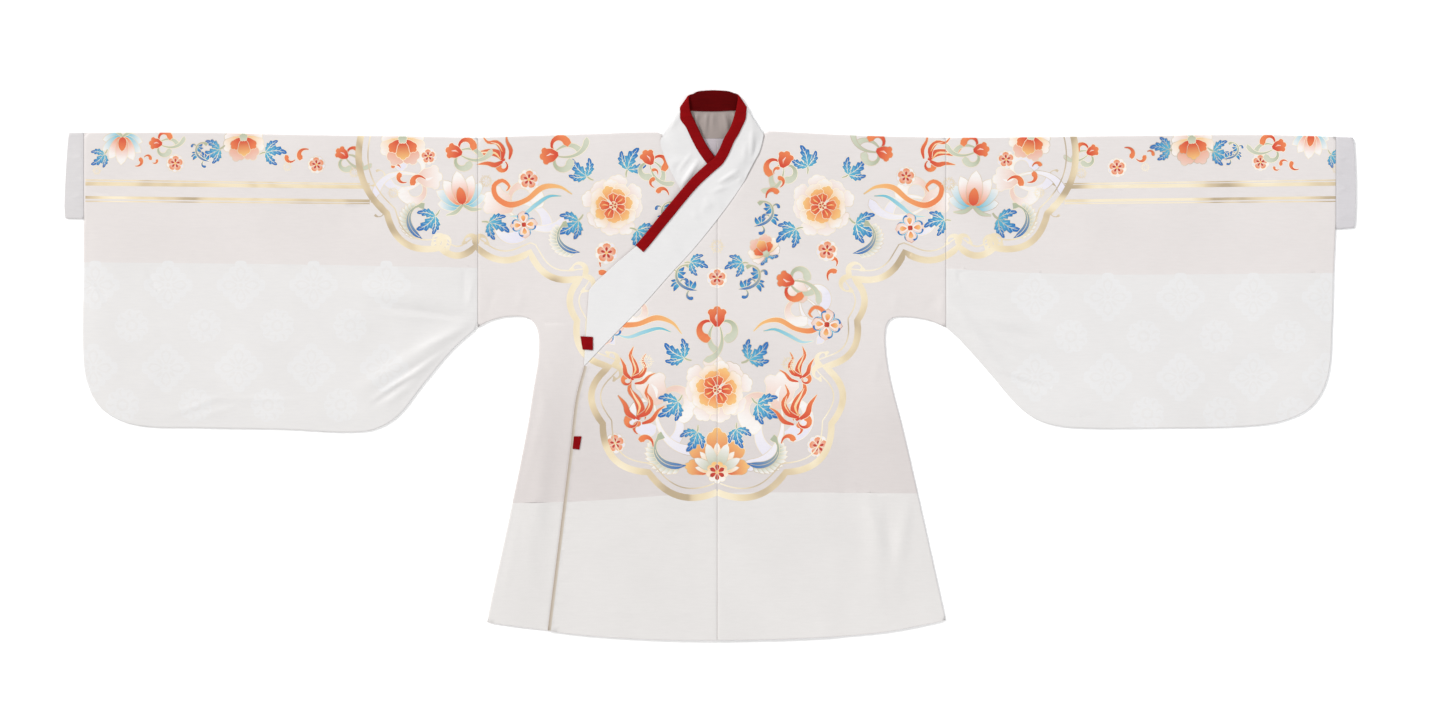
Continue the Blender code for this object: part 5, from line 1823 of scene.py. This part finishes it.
def weave_bump(add, join, shader, size, strength, slub):
    """Fine crossed threads and soft uneven slubs as bump."""
    place = add("ShaderNodeTexCoord")
    warp, weft = (
        add("ShaderNodeTexWave", bands_direction=way, Scale=WEAVE_WAVES / size, Distortion=0.6, Detail=1.0)
        for way in "XY"
    )
    for node in (warp, weft):
        join(place, "Object", node, "Vector")
    cross = add("ShaderNodeMath", operation="MULTIPLY")
    join(warp, "Fac", cross, 0)
    join(weft, "Fac", cross, 1)
    stretch = add("ShaderNodeMapping")
    stretch.inputs["Scale"].default_value = SLUB_STRETCH
    join(place, "Object", stretch, "Vector")
    slubs = add("ShaderNodeTexNoise", Scale=1.0, Detail=3.0, Roughness=0.6)
    join(stretch, "Vector", slubs, "Vector")
    total = add("ShaderNodeMath", operation="MULTIPLY_ADD")
    join(slubs, "Fac", total, 0)
    total.inputs[1].default_value = slub
    join(cross, "Value", total, 2)
    bump = add("ShaderNodeBump", Strength=strength, Distance=WEAVE_DEPTH)
    join(total, "Value", bump, "Height")
    join(bump, "Normal", shader, "Normal")
    return slubs, place, total, bump


def brocade_material():
    """Satin ground with woven coloured silk and flat gold, with the gold's glints painted into its colour.
    """
    material, shader, add, join = node_maker("satin_brocade")
    colour = add("ShaderNodeVertexColor", layer_name="Pattern")
    thread = add("ShaderNodeVertexColor", layer_name="Thread")
    kind = add("ShaderNodeSeparateColor")
    join(thread, "Color", kind, "Color")
    slubs, place, total, bump = weave_bump(add, join, shader, size=0.0007, strength=0.22, slub=1.2)

    patchy = add("ShaderNodeTexNoise", Scale=7.0, Detail=4.0, Roughness=0.55)
    join(place, "Object", patchy, "Vector")
    shade = add("ShaderNodeMapRange", From_Min=0.3, From_Max=0.7, To_Min=0.975, To_Max=1.02)
    join(patchy, "Fac", shade, "Value")
    ground = mixed(add, join, None, 1.0, colour, "Color", shade, "Result", "MULTIPLY")
    streak = add("ShaderNodeMapRange", From_Min=0.3, From_Max=0.7, To_Min=0.985, To_Max=1.015)
    join(slubs, "Fac", streak, "Value")
    ground = mixed(add, join, None, 1.0, ground, "Result", streak, "Result", "MULTIPLY")

    # Painted glints: a noise turns the gold's colour between bronze and bright, in place of the metal's
    # reflections
    glint = add("ShaderNodeTexNoise", Scale=11.0, Detail=2.0, Roughness=0.5, Distortion=0.4)
    join(place, "Object", glint, "Vector")
    ramp = add("ShaderNodeValToRGB")
    for element, (position, tone) in zip(ramp.color_ramp.elements, (PAINTED_GOLD_REFLECTIONS[0], PAINTED_GOLD_REFLECTIONS[-1])):
        element.position = position
        element.color = (*tone, 1.0)
    for position, tone in PAINTED_GOLD_REFLECTIONS[1:-1]:
        ramp.color_ramp.elements.new(position).color = (*tone, 1.0)
    join(glint, "Fac", ramp, "Fac")
    gold = mixed(add, join, None, GLINT_PAINT_SHARE, colour, "Color", ramp, "Color")
    final = mixed(add, join, kind, "Green", ground, "Result", gold, "Result")
    join(final, "Result", shader, "Base Color")

    metal = add("ShaderNodeMath", operation="MULTIPLY")
    join(kind, "Green", metal, 0)
    metal.inputs[1].default_value = GOLD_METAL
    join(metal, "Value", shader, "Metallic")
    rough = add("ShaderNodeMapRange", From_Min=0.0, From_Max=1.0, To_Min=0.48, To_Max=0.32)
    join(kind, "Green", rough, "Value")
    join(rough, "Result", shader, "Roughness")
    raised = add("ShaderNodeMath", operation="ADD")
    join(kind, "Red", raised, 0)
    join(kind, "Green", raised, 1)
    height = add("ShaderNodeMath", operation="MULTIPLY_ADD")
    join(raised, "Value", height, 0)
    height.inputs[1].default_value = THREAD_LIFT
    join(total, "Value", height, 2)
    join(height, "Value", bump, "Height")
    shader.inputs["Specular IOR Level"].default_value = 0.42
    shader.inputs["Sheen Weight"].default_value = 0.12
    shader.inputs["Sheen Roughness"].default_value = 0.4
    return material


def plain_material(name, roughness, sheen, specular, size, strength, slub, mottle):
    """Dyed cloth, with its weave and slightly uneven tone."""
    material, shader, add, join = node_maker(name)
    slubs, place, _, _ = weave_bump(add, join, shader, size, strength, slub)
    patchy = add("ShaderNodeTexNoise", Scale=24.0, Detail=4.0, Roughness=0.6)
    join(place, "Object", patchy, "Vector")
    tone = add("ShaderNodeMapRange", From_Min=0.3, From_Max=0.7, To_Min=1.0 - mottle, To_Max=1.0 + mottle)
    join(patchy, "Fac", tone, "Value")
    colour = add("ShaderNodeVertexColor", layer_name="Pattern")
    base = mixed(add, join, None, 1.0, colour, "Color", tone, "Result", "MULTIPLY")
    streak = add("ShaderNodeMapRange", From_Min=0.3, From_Max=0.7, To_Min=1.0 - mottle, To_Max=1.0 + mottle)
    join(slubs, "Fac", streak, "Value")
    final = mixed(add, join, None, 1.0, base, "Result", streak, "Result", "MULTIPLY")
    join(final, "Result", shader, "Base Color")
    shader.inputs["Roughness"].default_value = roughness
    shader.inputs["Specular IOR Level"].default_value = specular
    shader.inputs["Sheen Weight"].default_value = sheen
    shader.inputs["Sheen Roughness"].default_value = 0.45
    return material


# Build


draw_pattern()
print(len(ART), "shapes in the pattern")
brocade = brocade_material()
satin = plain_material(
    "white_satin", roughness=0.5, sheen=0.12, specular=0.35,
    size=0.0007, strength=0.2, slub=1.0, mottle=0.012)
cuff_cloth = plain_material(
    "cuff_lining", roughness=0.55, sheen=0.1, specular=0.3,
    size=0.0007, strength=0.25, slub=1.0, mottle=0.02)
red_cloth = plain_material(
    "red_twill", roughness=0.7, sheen=0.0, specular=0.03,
    size=0.0009, strength=0.5, slub=0.8, mottle=0.10)

rows = soft_collar_rows()
left_body = make_half("left_body", "body_left", 1, rows, outer_height, brocade)
right_body = make_half("right_body", "body_right", -1, rows, inner_front_height, brocade)
outer_overlap, inner_overlap = make_overlaps(rows, brocade)
left_sleeve = make_sleeve("left_sleeve", "sleeve_left", 1, brocade)
right_sleeve = make_sleeve("right_sleeve", "sleeve_right", -1, brocade)
# The left cuff's cloth is painted darker than the right one's: painted shade on one copy of the same cloth
left_cuff = make_cuff("left_cuff", "cuff_left", 1, "cuff_painted_shade", cuff_cloth)
right_cuff = make_cuff("right_cuff", "cuff_right", -1, "cuff", cuff_cloth)
collar = make_collar(rows, satin)
guard = make_guard(rows, red_cloth)
on_collar = COLLAR_OUTER[0][4] + COLLAR_CLOTH / 2 + TIE_ON_COLLAR_GAP + GUARD_CLOTH / 2
on_right_front = FRONT_Z + CLOTH / 2 + TIE_GAP + GUARD_CLOTH / 2
on_overlap = OUTER_Z_LOW + CLOTH / 2 + TIE_GAP + GUARD_CLOTH / 2
upper_tie = make_tie("upper_tie", "tie_upper", TIE_UPPER, on_right_front, on_collar, red_cloth)
lower_tie = make_tie("lower_tie", "tie_lower", TIE_LOWER, on_overlap, on_overlap, red_cloth)

# Floor, light and camera
FLOOR_HALF = 4.0
FLOOR_Z = -0.0004
CAMERA_AT = (0.0175, 0.0112, 5.62)
DAYLIGHT = (1.0, 1.0, 1.0)
SUNS = (
    ("window", (-2.6, 2.2, 2.4), 2.5, 16),
    ("fill", (2.4, -2.0, 2.6), 0.65, 40),
)
DISKS = (
    ("warm_side", (-2.4, -0.6, 3.4), (1.0, 0.9, 0.78)),
    ("cool_side", (2.4, -0.6, 3.4), (0.8, 0.89, 1.0)),
)
DISK_POWER = 12.0
DISK_SIZE = 3.0

mesh = bpy.data.meshes.new("floor")
mesh.from_pydata([
    (-FLOOR_HALF, -FLOOR_HALF, 0), (FLOOR_HALF, -FLOOR_HALF, 0), (FLOOR_HALF, FLOOR_HALF, 0),
    (-FLOOR_HALF, FLOOR_HALF, 0),
], [], [(0, 1, 2, 3)])
floor = bpy.data.objects.new("floor", mesh)
floor.location.z = FLOOR_Z
bpy.context.scene.collection.objects.link(floor)
paper, shader, _, _ = node_maker("floor_paper")
shader.inputs["Base Color"].default_value = (0.98, 0.98, 0.98, 1.0)
shader.inputs["Roughness"].default_value = 1.0
shader.inputs["Specular IOR Level"].default_value = 0.0
mesh.materials.append(paper)


def new_light(name, kind, at, power, tint):
    """A light that looks at the origin."""
    light = bpy.data.lights.new(name, kind)
    light.energy = power
    light.color = tint
    item = bpy.data.objects.new(name, light)
    item.location = at
    item.rotation_euler = (-Vector(at)).to_track_quat("-Z", "Y").to_euler()
    bpy.context.scene.collection.objects.link(item)
    return light


for name, at, power, spread in SUNS:
    new_light(name, "SUN", at, power, DAYLIGHT).angle = math.radians(spread)
for name, at, tint in DISKS:
    light = new_light(name, "AREA", at, DISK_POWER, tint)
    light.shape = "DISK"
    light.size = DISK_SIZE

world = bpy.data.worlds.new("studio")
world.use_nodes = True
world.node_tree.nodes["Background"].inputs["Color"].default_value = (1.0, 1.0, 1.0, 1.0)
world.node_tree.nodes["Background"].inputs["Strength"].default_value = 0.62
scene = bpy.context.scene
scene.world = world
scene.view_settings.view_transform = "Standard"
scene.view_settings.look = "None"

lens = bpy.data.cameras.new("camera")
lens.lens = 100.0
lens.sensor_width = 36.0
lens.clip_end = 50.0
camera = bpy.data.objects.new("camera", lens)
camera.location = CAMERA_AT
bpy.context.scene.collection.objects.link(camera)
scene.camera = camera
